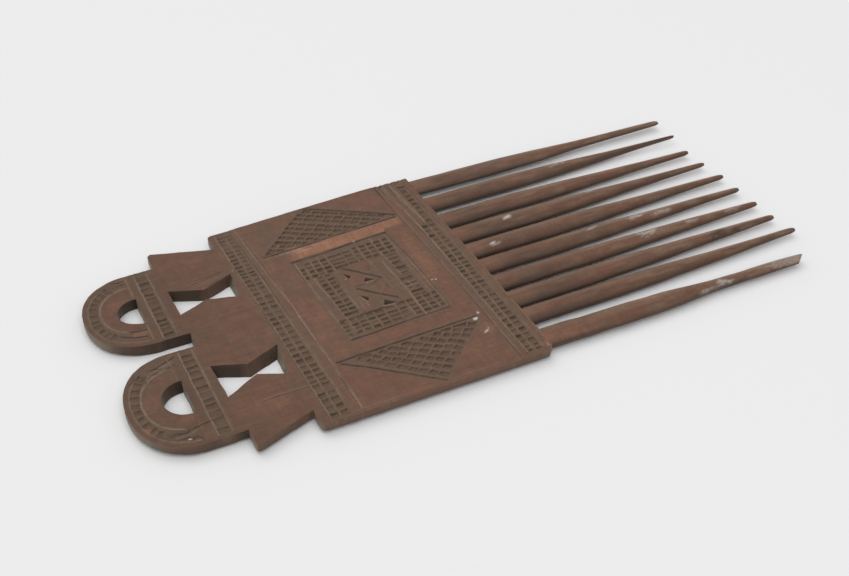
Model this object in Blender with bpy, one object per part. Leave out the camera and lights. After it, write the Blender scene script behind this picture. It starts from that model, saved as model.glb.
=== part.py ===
"""A flat carved wooden comb with two D-shaped loops and ten long teeth.

The comb lies on its back. X runs along its length with the teeth toward +X,
Y runs across it and Z is up from the surface that it rests on. The real comb
is carved from one board, so it is one solid here: a board cut to its outline
with four openings, ten tapered teeth joined to it, and the bands, frame and
hatching carved into its front. Its back is flat in the middle and planed
thinner toward both long sides and the handle end.

Sizes in the tables are millimetres. The finished mesh is in metres.
"""
import math
from typing import NamedTuple

import bmesh
import bpy
from mathutils import Vector

MM = 0.001

# Board
THICKNESS = 4.6
EDGE_ROUNDING = 0.7
MERGE_DISTANCE = 0.005 * MM

# Back: flat up to these lines, and this much higher at the outline beyond them
BACK_FLAT_HALF_WIDTH = 30.0
BACK_RISE_PER_MM_SIDE = 0.054
BACK_FLAT_END_X = -104.0
BACK_RISE_PER_MM_END = 0.07

# Panel and openwork
PANEL_LEFT_X = -71.1
PANEL_NEAR_Y = -55.0
WING_LEFT_X = -94.0
MIDDLE_LEFT_X = -92.8
NEAR_WING_LEFT_X = -90.7
ARC_STEPS = 16

# Middle of the finished outline, which stands over the origin
MIDDLE_X = -0.6
MIDDLE_Y = -0.55

# Teeth
ROOT_X = 8.9
ROOT_OVERLAP = 4.0
TOOTH_SIDES = 12
TOOTH_HALF_THICK = 2.1
TIP_CHANGE_POWER = 4

# Carving
GROOVE_HALF_WIDTH = 0.4
NOTCH_DEPTH = 0.7
NOTCH_WIDTH = 1.4
NOTCH_FLOOR_SHARE = 0.5
CUTTER_CLEARANCE = 0.15
CHIP_DEPTH = 1.2

WOOD_COLOUR = (0.160, 0.092, 0.065, 1.0)
WOOD_ROUGHNESS = 0.55


class DShape(NamedTuple):
    """A D: a straight side at base_x and a round end reaching toward -X."""

    base_x: float
    mid_y: float
    half: float
    reach: float
    power: float


class Tooth(NamedTuple):
    """One tooth by the middle of its root and tip and its root's half width.

    The tip share makes the tip wider or narrower than the shared taper does.
    """

    root_y: float
    tip_y: float
    tip_x: float
    half_width: float
    tip_share: float = 1.0
    slimming: float = 1.0
    lift: float = 0.0


class Ladder(NamedTuple):
    """A column of notches from one end to the other, each running along X."""

    start: tuple[float, float]
    end: tuple[float, float]
    count: int
    length: float


class Hatch(NamedTuple):
    """A triangle of short cuts in rows, set out from its first corner."""

    corners: tuple[tuple[float, float], ...]
    origin: tuple[float, float]
    along_cut: tuple[float, float]
    along_row: tuple[float, float]


UPPER_LOOP = DShape(base_x=-103.4, mid_y=22.1, half=19.1, reach=19.1, power=2.2)
LOWER_LOOP = DShape(base_x=-102.4, mid_y=-25.3, half=21.5, reach=19.2, power=2.2)
UPPER_HOLE = DShape(base_x=-103.7, mid_y=21.0, half=7.1, reach=8.2, power=2.0)
LOWER_HOLE = DShape(base_x=-102.1, mid_y=-25.2, half=8.1, reach=8.4, power=2.1)

FAR_HOURGLASS = ((-93.2, 26.9), (-81.8, 22.4), (-70.6, 27.1), (-70.6, 13.5), (-82.7, 17.2), (-92.8, 13.1))
NEAR_HOURGLASS = ((-92.0, -14.9), (-81.1, -19.1), (-69.7, -14.3), (-69.8, -29.1), (-80.3, -24.8), (-91.5, -30.9))

TEETH = (
    Tooth(48.5, 48.2, 118.9, 4.5, tip_share=1.3, slimming=0.86, lift=0.4),
    Tooth(36.6, 37.0, 118.3, 4.35, tip_share=0.4),
    Tooth(24.9, 24.8, 117.1, 4.4),
    Tooth(14.5, 14.9, 117.7, 4.5, tip_share=0.8),
    Tooth(4.3, 4.9, 118.8, 4.25),
    Tooth(-5.5, -5.1, 118.8, 4.0),
    Tooth(-15.5, -15.5, 119.2, 4.15),
    Tooth(-25.5, -24.9, 119.4, 4.15),
    Tooth(-35.3, -35.0, 121.3, 4.05),
    Tooth(-48.0, -49.8, 112.4, 4.7, tip_share=1.5, slimming=0.86, lift=0.4),
)

# Share of the way to the tip, and the shares of the root's width and thickness left
TAPER = (
    (0.00, 1.00, 1.00),
    (0.30, 0.98, 1.00),
    (0.48, 0.86, 0.93),
    (0.63, 0.67, 0.80),
    (0.77, 0.52, 0.66),
    (0.91, 0.33, 0.48),
    (0.985, 0.21, 0.36),
    (1.00, 0.13, 0.22),
)

LADDERS = (
    # Band at the panel's handle side, in two columns that join at the near end
    Ladder((-68.0, 48.3), (-66.2, 22.0), 11, 2.3),
    Ladder((-66.1, 19.4), (-65.5, -39.0), 24, 2.3),
    Ladder((-65.2, 48.3), (-63.1, 22.0), 11, 2.2),
    Ladder((-63.0, 19.4), (-62.2, -39.0), 24, 2.2),
    Ladder((-63.8, -41.9), (-63.7, -51.2), 4, 6.0),
    # Band along the roots of the teeth
    Ladder((3.6, 47.0), (4.4, 12.0), 14, 2.2),
    Ladder((4.4, 9.3), (4.6, -52.0), 24, 2.2),
    Ladder((0.9, 23.0), (1.6, -8.0), 12, 1.9),
    Ladder((1.6, -10.6), (1.9, -52.0), 16, 1.9),
    # Across the base of each loop
    Ladder((-98.9, 38.3), (-98.7, 6.2), 12, 3.4),
    Ladder((-97.1, -6.7), (-97.1, -42.8), 13, 3.2),
    # Frame of the middle field: handle side, far side, then tooth side
    Ladder((-48.5, 20.7), (-48.3, 9.0), 6, 1.9),
    Ladder((-45.0, 20.7), (-43.4, -10.0), 14, 2.1),
    Ladder((-42.2, 20.7), (-40.9, -10.0), 14, 1.9),
    Ladder((-38.8, 21.4), (-38.6, 17.0), 3, 2.4),
    Ladder((-32.2, 21.6), (-32.1, 17.2), 3, 8.8),
    Ladder((-25.6, 21.9), (-25.5, 17.5), 3, 2.4),
    Ladder((-22.6, 22.0), (-22.5, 17.6), 3, 2.2),
    Ladder((-18.2, 22.8), (-17.9, 15.6), 4, 1.9),
    Ladder((-15.3, 22.9), (-15.2, 15.7), 4, 1.9),
    Ladder((-16.9, 12.8), (-15.7, -10.4), 10, 3.0),
)

# Cells of the frame's near side
NEAR_FRAME_COLUMNS = 13
NEAR_FRAME_FIRST_X = -46.2
NEAR_FRAME_PITCH = 2.75
NEAR_FRAME_FIRST_Y = -14.2
NEAR_FRAME_LAST_Y = -21.2
NEAR_FRAME_ROWS = 4
NEAR_FRAME_LENGTH = 1.9

HATCHES = (
    Hatch(
        corners=((-55.5, 31.2), (-38.6, 51.2), (-8.5, 33.6)),
        origin=(-51.9, 34.3),
        along_cut=(3.0, -1.95),
        along_row=(2.1, 2.05),
    ),
    Hatch(
        corners=((-50.6, -30.8), (-6.3, -31.2), (-26.7, -52.0)),
        origin=(-9.4, -34.8),
        along_cut=(-2.95, 2.15),
        along_row=(-2.5, -2.2),
    ),
)
HATCH_SPREAD = 16
HATCH_CUT_LENGTH = 2.6
HATCH_CUT_WIDTH = 1.3
HATCH_MARGIN = 0.3

GROOVES = (
    # Lines beside the band at the panel's handle side
    ((-69.4, 49.3), (-68.2, 20.0), (-67.4, -52.5)),
    ((-63.4, 49.5), (-61.3, 20.0), (-60.3, -52.5)),
    ((-61.2, 50.0), (-59.2, 25.0), (-56.5, -52.5)),
    # Lines beside the band at the roots
    ((-5.4, 52.0), (-3.8, 25.0), (-2.6, -13.0), (-2.1, -52.5)),
    ((-2.9, 52.0), (-0.9, 25.0), (0.3, -52.5)),
    ((0.6, 52.0), (1.8, 26.0)),
    ((5.6, 52.0), (6.3, 12.0), (6.2, -52.5)),
    # Lines beside the ladder across each loop
    ((-104.2, 39.6), (-104.7, 29.6)),
    ((-104.0, 12.6), (-104.2, 5.2)),
    ((-101.2, 39.8), (-101.4, 5.0)),
    ((-96.6, 39.8), (-96.3, 5.0)),
    ((-102.8, -5.2), (-102.7, -15.8)),
    ((-103.2, -34.6), (-103.4, -44.6)),
    ((-99.8, -5.2), (-99.4, -44.6)),
    ((-94.9, -5.2), (-94.9, -44.6)),
    # Frame of the middle field
    ((-50.2, 23.4), (-49.9, 15.0), (-47.6, -22.8)),
    ((-46.9, 22.6), (-45.0, -12.4)),
    ((-40.7, 13.4), (-39.6, -12.4)),
    ((-49.9, 23.5), (-13.5, 25.8)),
    ((-47.6, -22.8), (-11.2, -22.6)),
    ((-12.9, 25.0), (-11.8, 2.0), (-11.2, -22.6)),
    ((-20.4, 23.0), (-19.2, 5.0), (-18.6, -12.2)),
    ((-24.0, 14.0), (-22.9, -12.2)),
    ((-38.4, -12.4), (-22.9, -12.4)),
    # Diagonals of the middle field
    ((-36.9, 14.4), (-24.2, 1.4)),
    ((-35.2, 0.4), (-23.6, -11.6)),
    # Edges of the plain strip and of the hatched triangles
    ((-57.6, 30.3), (-32.4, 31.7), (-6.0, 32.8)),
    ((-34.4, 51.6), (-5.8, 33.6)),
    ((-55.6, -31.4), (-6.2, -30.0)),
    ((-54.4, -32.0), (-27.6, -52.8)),
)

# Deep three-cornered cuts: their corners, with the deepest point under the first
CHIPS = (
    ((-34.2, 7.2), (-36.4, 11.0), (-36.8, 6.2)),
    ((-30.6, 3.6), (-31.5, 2.5), (-27.9, 2.7)),
    ((-33.7, -5.8), (-36.1, -2.9), (-33.0, -5.3)),
    ((-29.6, -9.4), (-30.7, -11.6), (-27.0, -11.4)),
)

# Rings of cuts around each loop
RING_NOTCHES = 15
RING_NOTCH_LENGTH = 2.6
RING_NOTCH_INSET = 3.3
RING_LINE_INSETS = (1.5, 5.3)
RING_HALF_SWEEP = math.radians(80.0)


def clear_scene() -> None:
    """Remove every object of the start-up scene."""
    for obj in list(bpy.data.objects):
        bpy.data.objects.remove(obj, do_unlink=True)


def new_collection(name: str) -> bpy.types.Collection:
    """Add a collection to the scene and return it."""
    collection = bpy.data.collections.new(name)
    bpy.context.scene.collection.children.link(collection)
    return collection


def d_point(shape: DShape, inset: float, angle: float) -> tuple[float, float]:
    """Return a point of the D's round end, at an angle from -X toward +Y."""
    sine = math.sin(angle)
    across = math.copysign(abs(sine) ** (2.0 / shape.power), sine)
    outward = abs(math.cos(angle)) ** (2.0 / shape.power)
    x = shape.base_x - (shape.reach - inset) * outward
    y = shape.mid_y + (shape.half - inset) * across
    return (x, y)


def d_arc(shape: DShape, inset: float, half_sweep: float, steps: int) -> list[tuple[float, float]]:
    """Return the round end's points from the far side to the near side."""
    angles = [half_sweep * (1.0 - 2.0 * step / steps) for step in range(steps + 1)]
    return [d_point(shape, inset, angle) for angle in angles]


def board_outline() -> list[tuple[float, float]]:
    """Return the board's outline, from the panel's far corner round the handle."""
    far_loop_y = UPPER_LOOP.mid_y + UPPER_LOOP.half
    gap_far_y = UPPER_LOOP.mid_y - UPPER_LOOP.half
    gap_near_y = LOWER_LOOP.mid_y + LOWER_LOOP.half
    near_loop_y = LOWER_LOOP.mid_y - LOWER_LOOP.half
    outline = [(-70.4, 50.8), (PANEL_LEFT_X - 0.4, 50.2), (PANEL_LEFT_X - 0.4, 42.6)]
    outline += [(WING_LEFT_X, 49.4), (WING_LEFT_X, far_loop_y)]
    outline += d_arc(UPPER_LOOP, 0.0, math.pi / 2, ARC_STEPS)
    outline += [(MIDDLE_LEFT_X, gap_far_y), (MIDDLE_LEFT_X, gap_near_y)]
    outline += d_arc(LOWER_LOOP, 0.0, math.pi / 2, ARC_STEPS)
    outline += [(NEAR_WING_LEFT_X, near_loop_y), (NEAR_WING_LEFT_X, PANEL_NEAR_Y + 0.8)]
    outline += [(PANEL_LEFT_X + 0.6, PANEL_NEAR_Y + 7.6), (PANEL_LEFT_X + 1.0, PANEL_NEAR_Y + 0.3)]
    outline += [(7.4, PANEL_NEAR_Y), (9.5, -52.8), (8.9, 0.0), (8.1, 53.9), (-10.0, 53.9)]
    return outline


def flat_board(name: str, outlines: list[list[tuple[float, float]]]) -> bpy.types.Mesh:
    """Return a board with rounded edges from its outline and its holes."""
    curve = bpy.data.curves.new(name, "CURVE")
    curve.dimensions = "2D"
    curve.fill_mode = "BOTH"
    curve.extrude = (THICKNESS / 2 - EDGE_ROUNDING) * MM
    curve.bevel_depth = EDGE_ROUNDING * MM
    curve.bevel_resolution = 1
    curve.offset = -EDGE_ROUNDING * MM
    for outline in outlines:
        spline = curve.splines.new("POLY")
        spline.points.add(len(outline) - 1)
        spline.use_cyclic_u = True
        for point, (x, y) in zip(spline.points, outline):
            point.co = (x * MM, y * MM, 0.0, 1.0)
    return mesh_from_curve(name, curve, THICKNESS / 2 * MM)


def mesh_from_curve(name: str, curve: bpy.types.Curve, lift: float) -> bpy.types.Mesh:
    """Return the curve's solid as a closed mesh, lifted along Z."""
    source = bpy.data.objects.new(name + "_curve", curve)
    bpy.context.scene.collection.objects.link(source)
    graph = bpy.context.evaluated_depsgraph_get()
    mesh = bpy.data.meshes.new_from_object(source.evaluated_get(graph))
    bpy.data.objects.remove(source, do_unlink=True)
    form = bmesh.new()
    form.from_mesh(mesh)
    bmesh.ops.remove_doubles(form, verts=form.verts, dist=MERGE_DISTANCE)
    bmesh.ops.translate(form, verts=form.verts, vec=(0.0, 0.0, lift))
    bmesh.ops.recalc_face_normals(form, faces=form.faces)
    form.to_mesh(mesh)
    form.free()
    return mesh


def back_rise(x: float, y: float) -> float:
    """Return how far the back stands above the resting plane, in millimetres."""
    side = max(0.0, abs(y) - BACK_FLAT_HALF_WIDTH) * BACK_RISE_PER_MM_SIDE
    end = max(0.0, BACK_FLAT_END_X - x) * BACK_RISE_PER_MM_END
    return side + end


def plane_back(mesh: bpy.types.Mesh) -> None:
    """Thin the board from behind toward its long sides and its handle end."""
    form = bmesh.new()
    form.from_mesh(mesh)
    creases = (
        (Vector((0.0, BACK_FLAT_HALF_WIDTH * MM, 0.0)), Vector((0.0, 1.0, 0.0))),
        (Vector((0.0, -BACK_FLAT_HALF_WIDTH * MM, 0.0)), Vector((0.0, 1.0, 0.0))),
        (Vector((BACK_FLAT_END_X * MM, 0.0, 0.0)), Vector((1.0, 0.0, 0.0))),
    )
    for point, normal in creases:
        geometry = form.verts[:] + form.edges[:] + form.faces[:]
        bmesh.ops.bisect_plane(form, geom=geometry, dist=MERGE_DISTANCE, plane_co=point, plane_no=normal)
    for vertex in form.verts:
        share = 1.0 - vertex.co.z / (THICKNESS * MM)
        vertex.co.z += back_rise(vertex.co.x / MM, vertex.co.y / MM) * share * MM
    form.to_mesh(mesh)
    form.free()


def add_tooth(form: bmesh.types.BMesh, tooth: Tooth) -> None:
    """Loft one tooth through rings that follow the shared taper."""
    sections = [(ROOT_X - ROOT_OVERLAP, tooth.root_y, 1.0, 1.0)]
    for share, width, thick in TAPER:
        x = ROOT_X + (tooth.tip_x - ROOT_X) * share
        y = tooth.root_y + (tooth.tip_y - tooth.root_y) * share
        change = 1.0 + (tooth.tip_share - 1.0) * share**TIP_CHANGE_POWER
        sections.append((x, y, width * change, thick))
    middle_z = THICKNESS / 2 + tooth.lift
    half_thick = TOOTH_HALF_THICK * tooth.slimming
    previous = None
    for index, (x, y, width, thick) in enumerate(sections):
        is_end = index in (0, len(sections) - 1)
        ring = bmesh.ops.create_circle(form, segments=TOOTH_SIDES, radius=1.0, cap_ends=is_end)["verts"]
        for vertex in ring:
            across = vertex.co.x * tooth.half_width * width
            upward = vertex.co.y * half_thick * thick
            vertex.co = Vector((x * MM, (y + across) * MM, (middle_z + upward) * MM))
        edges = {edge for vertex in ring for edge in vertex.link_edges}
        if previous:
            bmesh.ops.bridge_loops(form, edges=list(previous | edges))
        previous = edges


def teeth_object(collection: bpy.types.Collection) -> bpy.types.Object:
    """Return one object that holds the ten teeth."""
    form = bmesh.new()
    for tooth in TEETH:
        add_tooth(form, tooth)
    bmesh.ops.recalc_face_normals(form, faces=form.faces)
    return object_from_form("teeth_blank", form, collection)


def object_from_form(name: str, form: bmesh.types.BMesh, collection: bpy.types.Collection) -> bpy.types.Object:
    """Store a form as a hidden helper object and return the object."""
    mesh = bpy.data.meshes.new(name)
    form.to_mesh(mesh)
    form.free()
    obj = bpy.data.objects.new(name, mesh)
    obj.hide_render = True
    obj.display_type = "WIRE"
    collection.objects.link(obj)
    return obj


def add_hull(form: bmesh.types.BMesh, points: list[Vector]) -> None:
    """Add the closed convex solid around a few points in millimetres."""
    verts = [form.verts.new(point * MM) for point in points]
    bmesh.ops.convex_hull(form, input=verts)


def add_notch(form: bmesh.types.BMesh, x: float, y: float, angle: float, length: float, width: float) -> None:
    """Add a trough-shaped cutter that lies along an angle in the XY plane."""
    spread = (NOTCH_DEPTH + CUTTER_CLEARANCE) / NOTCH_DEPTH
    floor_half = length * NOTCH_FLOOR_SHARE / 2
    top_half = floor_half + (length / 2 - floor_half) * spread
    side_half = width / 2 * spread
    along = Vector((math.cos(angle), math.sin(angle), 0.0))
    across = Vector((-along.y, along.x, 0.0))
    top = Vector((x, y, THICKNESS + CUTTER_CLEARANCE))
    floor = Vector((x, y, THICKNESS - NOTCH_DEPTH))
    corners = [top + along * top_half * a + across * side_half * b for a in (-1, 1) for b in (-1, 1)]
    ridge = [floor + along * floor_half * a for a in (-1, 1)]
    add_hull(form, corners + ridge)


def add_ladder(form: bmesh.types.BMesh, ladder: Ladder) -> None:
    """Add a column's notches, evenly spaced between its ends."""
    start = Vector(ladder.start)
    end = Vector(ladder.end)
    for index in range(ladder.count):
        place = start.lerp(end, index / (ladder.count - 1))
        add_notch(form, place.x, place.y, 0.0, ladder.length, NOTCH_WIDTH)


def near_frame_ladders() -> list[Ladder]:
    """Return the columns of cells along the near side of the frame."""
    ladders = []
    for column in range(NEAR_FRAME_COLUMNS):
        x = NEAR_FRAME_FIRST_X + NEAR_FRAME_PITCH * column
        start = (x, NEAR_FRAME_FIRST_Y)
        end = (x, NEAR_FRAME_LAST_Y)
        ladders.append(Ladder(start, end, NEAR_FRAME_ROWS, NEAR_FRAME_LENGTH))
    return ladders


def margin_inside(point: Vector, corners: tuple[tuple[float, float], ...]) -> float:
    """Return the least distance from a point to a triangle's sides, negative outside."""
    corner_vectors = [Vector(corner) for corner in corners]
    middle = sum(corner_vectors, Vector((0.0, 0.0))) / 3
    margins = []
    for index, corner in enumerate(corner_vectors):
        side = corner_vectors[(index + 1) % 3] - corner
        normal = Vector((-side.y, side.x)).normalized()
        if normal.dot(middle - corner) < 0.0:
            normal = -normal
        margins.append(normal.dot(point - corner))
    return min(margins)


def add_hatch(form: bmesh.types.BMesh, hatch: Hatch) -> None:
    """Add the hatched triangle's short cuts, row by row."""
    along_cut = Vector(hatch.along_cut)
    along_row = Vector(hatch.along_row)
    angle = math.atan2(along_cut.y, along_cut.x)
    for row in range(-HATCH_SPREAD, HATCH_SPREAD):
        for step in range(-HATCH_SPREAD, HATCH_SPREAD):
            place = Vector(hatch.origin) + along_cut * row + along_row * step
            if margin_inside(place, hatch.corners) > HATCH_MARGIN:
                add_notch(form, place.x, place.y, angle, HATCH_CUT_LENGTH, HATCH_CUT_WIDTH)


def add_ring(form: bmesh.types.BMesh, loop: DShape) -> None:
    """Add the cuts that stand square to a loop's round edge."""
    for index in range(RING_NOTCHES):
        angle = RING_HALF_SWEEP * (1.0 - 2.0 * index / (RING_NOTCHES - 1))
        outer = Vector(d_point(loop, RING_NOTCH_INSET - 1.0, angle))
        inner = Vector(d_point(loop, RING_NOTCH_INSET + 1.0, angle))
        place = (outer + inner) / 2
        direction = outer - inner
        turn = math.atan2(direction.y, direction.x)
        add_notch(form, place.x, place.y, turn, RING_NOTCH_LENGTH, NOTCH_WIDTH)


def add_chip(form: bmesh.types.BMesh, corners: tuple[tuple[float, float], ...]) -> None:
    """Add a three-sided pyramid that points down under its first corner."""
    middle = sum((Vector(corner) for corner in corners), Vector((0.0, 0.0))) / 3
    deepest = Vector(corners[0]).lerp(middle, 0.5)
    spread = (CHIP_DEPTH + CUTTER_CLEARANCE) / CHIP_DEPTH
    tops = []
    for corner in corners:
        wide = deepest + (Vector(corner) - deepest) * spread
        tops.append(Vector((wide.x, wide.y, THICKNESS + CUTTER_CLEARANCE)))
    add_hull(form, tops + [Vector((deepest.x, deepest.y, THICKNESS - CHIP_DEPTH))])


def notch_object(collection: bpy.types.Collection) -> bpy.types.Object:
    """Return one object that holds every notch and chip cutter."""
    form = bmesh.new()
    for ladder in LADDERS + tuple(near_frame_ladders()):
        add_ladder(form, ladder)
    for hatch in HATCHES:
        add_hatch(form, hatch)
    for loop in (UPPER_LOOP, LOWER_LOOP):
        add_ring(form, loop)
    for chip in CHIPS:
        add_chip(form, chip)
    bmesh.ops.recalc_face_normals(form, faces=form.faces)
    return object_from_form("notch_cutter", form, collection)


def groove_object(collection: bpy.types.Collection) -> bpy.types.Object:
    """Return one object whose four-sided rods cut the V grooves."""
    curve = bpy.data.curves.new("groove_lines", "CURVE")
    curve.dimensions = "3D"
    curve.twist_mode = "Z_UP"
    curve.bevel_depth = GROOVE_HALF_WIDTH * MM
    curve.bevel_resolution = 0
    curve.use_fill_caps = True
    lines = list(GROOVES)
    for loop in (UPPER_LOOP, LOWER_LOOP):
        lines += [d_arc(loop, inset, RING_HALF_SWEEP, ARC_STEPS) for inset in RING_LINE_INSETS]
    for line in lines:
        spline = curve.splines.new("POLY")
        spline.points.add(len(line) - 1)
        for point, (x, y) in zip(spline.points, line):
            point.co = (x * MM, y * MM, THICKNESS * MM, 1.0)
    form = bmesh.new()
    form.from_mesh(mesh_from_curve("groove_lines", curve, 0.0))
    return object_from_form("groove_cutter", form, collection)


def wood_material() -> bpy.types.Material:
    """Return the dark reddish brown wood."""
    material = bpy.data.materials.new("carved_wood")
    material.use_nodes = True
    shader = material.node_tree.nodes["Principled BSDF"]
    shader.inputs["Base Color"].default_value = WOOD_COLOUR
    shader.inputs["Roughness"].default_value = WOOD_ROUGHNESS
    shader.inputs["Metallic"].default_value = 0.0
    return material


def add_boolean(target: bpy.types.Object, name: str, operation: str, operand: bpy.types.Object, crossing: bool) -> None:
    """Add an exact Boolean step to an object."""
    step = target.modifiers.new(name, "BOOLEAN")
    step.operation = operation
    step.solver = "EXACT"
    step.object = operand
    step.use_self = crossing


def main() -> None:
    """Build the comb."""
    clear_scene()
    parts = new_collection("Wooden comb")
    cutters = new_collection("Cutters")

    centre = bpy.data.objects.new("centre", None)
    centre.location = (-MIDDLE_X * MM, -MIDDLE_Y * MM, 0.0)
    parts.objects.link(centre)

    holes = [d_arc(hole, 0.0, math.pi / 2, ARC_STEPS) for hole in (UPPER_HOLE, LOWER_HOLE)]
    outlines = [board_outline()] + holes + [list(FAR_HOURGLASS), list(NEAR_HOURGLASS)]
    board = flat_board("comb", outlines)
    plane_back(board)

    comb = bpy.data.objects.new("comb", board)
    comb.data.materials.clear()
    comb.data.materials.append(wood_material())
    parts.objects.link(comb)
    add_boolean(comb, "Teeth", "UNION", teeth_object(cutters), False)
    add_boolean(comb, "Grooves", "DIFFERENCE", groove_object(cutters), True)
    add_boolean(comb, "Notches", "DIFFERENCE", notch_object(cutters), False)
    for obj in list(parts.objects) + list(cutters.objects):
        if obj is not centre:
            obj.parent = centre


main()
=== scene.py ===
"""The looks of a flat carved wooden comb that lies on a pale studio floor.

The board is a blank with worn edges, cut to the comb's outline, whose top face
is carved: every groove, ladder notch, hatching cut and three-cornered chip is
worked into a fine sheet of depths, softened by wear, and the sheet shapes the
mesh. The teeth are lofted through rings. Sizes are in drawing millimetres,
whose origin lies a little off the middle of the comb, and become metres when a
mesh is finished.
"""

import logging
import math
from collections.abc import Iterable, Iterator, Sequence
from contextlib import contextmanager
from dataclasses import dataclass, field
from enum import Enum

import bmesh
import bpy
import numpy as np
from mathutils import Matrix, Vector


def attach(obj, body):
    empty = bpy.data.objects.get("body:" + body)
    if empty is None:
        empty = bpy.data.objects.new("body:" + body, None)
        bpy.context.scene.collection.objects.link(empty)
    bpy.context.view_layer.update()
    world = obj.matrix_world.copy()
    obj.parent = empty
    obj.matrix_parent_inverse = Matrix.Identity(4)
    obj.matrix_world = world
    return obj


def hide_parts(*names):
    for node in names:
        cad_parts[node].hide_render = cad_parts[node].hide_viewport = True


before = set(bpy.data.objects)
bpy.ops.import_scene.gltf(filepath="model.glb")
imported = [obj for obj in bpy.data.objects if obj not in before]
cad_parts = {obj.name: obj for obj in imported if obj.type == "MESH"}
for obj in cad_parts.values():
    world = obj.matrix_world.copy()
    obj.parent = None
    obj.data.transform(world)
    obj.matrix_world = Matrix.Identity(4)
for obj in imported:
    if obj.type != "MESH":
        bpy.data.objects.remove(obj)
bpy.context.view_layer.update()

LOG = logging.getLogger("comb")
Point = tuple[float, float]
Triple = tuple[float, float, float]
Patch = tuple[slice, slice]

MM = 0.001
# In millimetres: the drawing's place in the model, the board's thickness, how close
# points are welded in the blank and after carving, and the room around a line.
CENTRE = (0.6, 0.55)
THICKNESS = 4.6
BLANK_WELD = 0.005
CARVED_WELD = 0.002
LINE_MARGIN = 0.3
# In degrees: where two faces meet at a hard edge.
SHARP_FROM = 78.0
COMB_NODE = "comb"
BODY = "root"


class Mark(Enum):
    """The masks that a carved sheet keeps beside its depths."""

    # The cut mask holds grime with painted shade, the rubbed mask wear with painted highlights, and the shade
    # mask painted shade.
    CUT = "cut"
    RUBBED_AND_LIT = "rubbed_and_lit"
    DULL = "dull"
    STRIP = "strip"
    CHALK = "chalk"
    STAIN = "stain"
    SHADE = "shade"


def unit(values: np.ndarray) -> np.ndarray:
    """Return values held between 0 and 1."""
    return np.clip(values, 0.0, 1.0)


class Noise:
    """Smooth value noise over the plane, the same on every run."""

    SIDE = 256

    def __init__(self, seed: int) -> None:
        """Draw the lattice of values.

        Args:
            seed: Picks the lattice.
        """
        self.table = np.random.default_rng(seed).random((self.SIDE, self.SIDE))

    def at(self, x: np.ndarray, y: np.ndarray, size: float) -> np.ndarray:
        """Read the noise.

        Args:
            x: Places along the first axis.
            y: Places along the second axis.
            size: Width of one cell of the lattice.

        Returns:
            Values from -1 to 1.
        """
        u, v = np.broadcast_arrays(np.asarray(x, float) / size, np.asarray(y, float) / size)
        column, row = np.floor(u).astype(int), np.floor(v).astype(int)
        u, v = u - column, v - row
        u, v = u * u * (3.0 - 2.0 * u), v * v * (3.0 - 2.0 * v)
        left, right = column % self.SIDE, (column + 1) % self.SIDE
        low, high = row % self.SIDE, (row + 1) % self.SIDE
        near = self.table[low, left] * (1.0 - u) + self.table[low, right] * u
        far = self.table[high, left] * (1.0 - u) + self.table[high, right] * u
        return (near * (1.0 - v) + far * v) * 2.0 - 1.0


HAND = Noise(7)
WARP = Noise(19)


@dataclass(frozen=True)
class DShape:
    """A D: a straight side at base_x and a round end that reaches toward -X."""

    base_x: float
    mid_y: float
    half: float
    reach: float
    power: float = 2.2

    def point(self, angle: float, inset: float = 0.0) -> Point:
        """Return the round end's point at an angle from -X toward +Y.

        Args:
            angle: Direction in radians.
            inset: Distance inside the shape.

        Returns:
            The point.
        """
        sine = math.sin(angle)
        across = math.copysign(abs(sine) ** (2.0 / self.power), sine)
        outward = abs(math.cos(angle)) ** (2.0 / self.power)
        x = self.base_x - (self.reach - inset) * outward
        return (x, self.mid_y + (self.half - inset) * across)

    def arc(self, steps: int, sweep: tuple[float, float] = (90.0, -90.0), inset: float = 0.0) -> list[Point]:
        """Return points along the round end.

        Args:
            steps: Number of stretches between the points.
            sweep: First and last angle in degrees.
            inset: Distance inside the shape.

        Returns:
            The points, from the first angle to the last.
        """
        first, last = math.radians(sweep[0]), math.radians(sweep[1])
        return [self.point(first + (last - first) * step / steps, inset) for step in range(steps + 1)]


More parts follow.
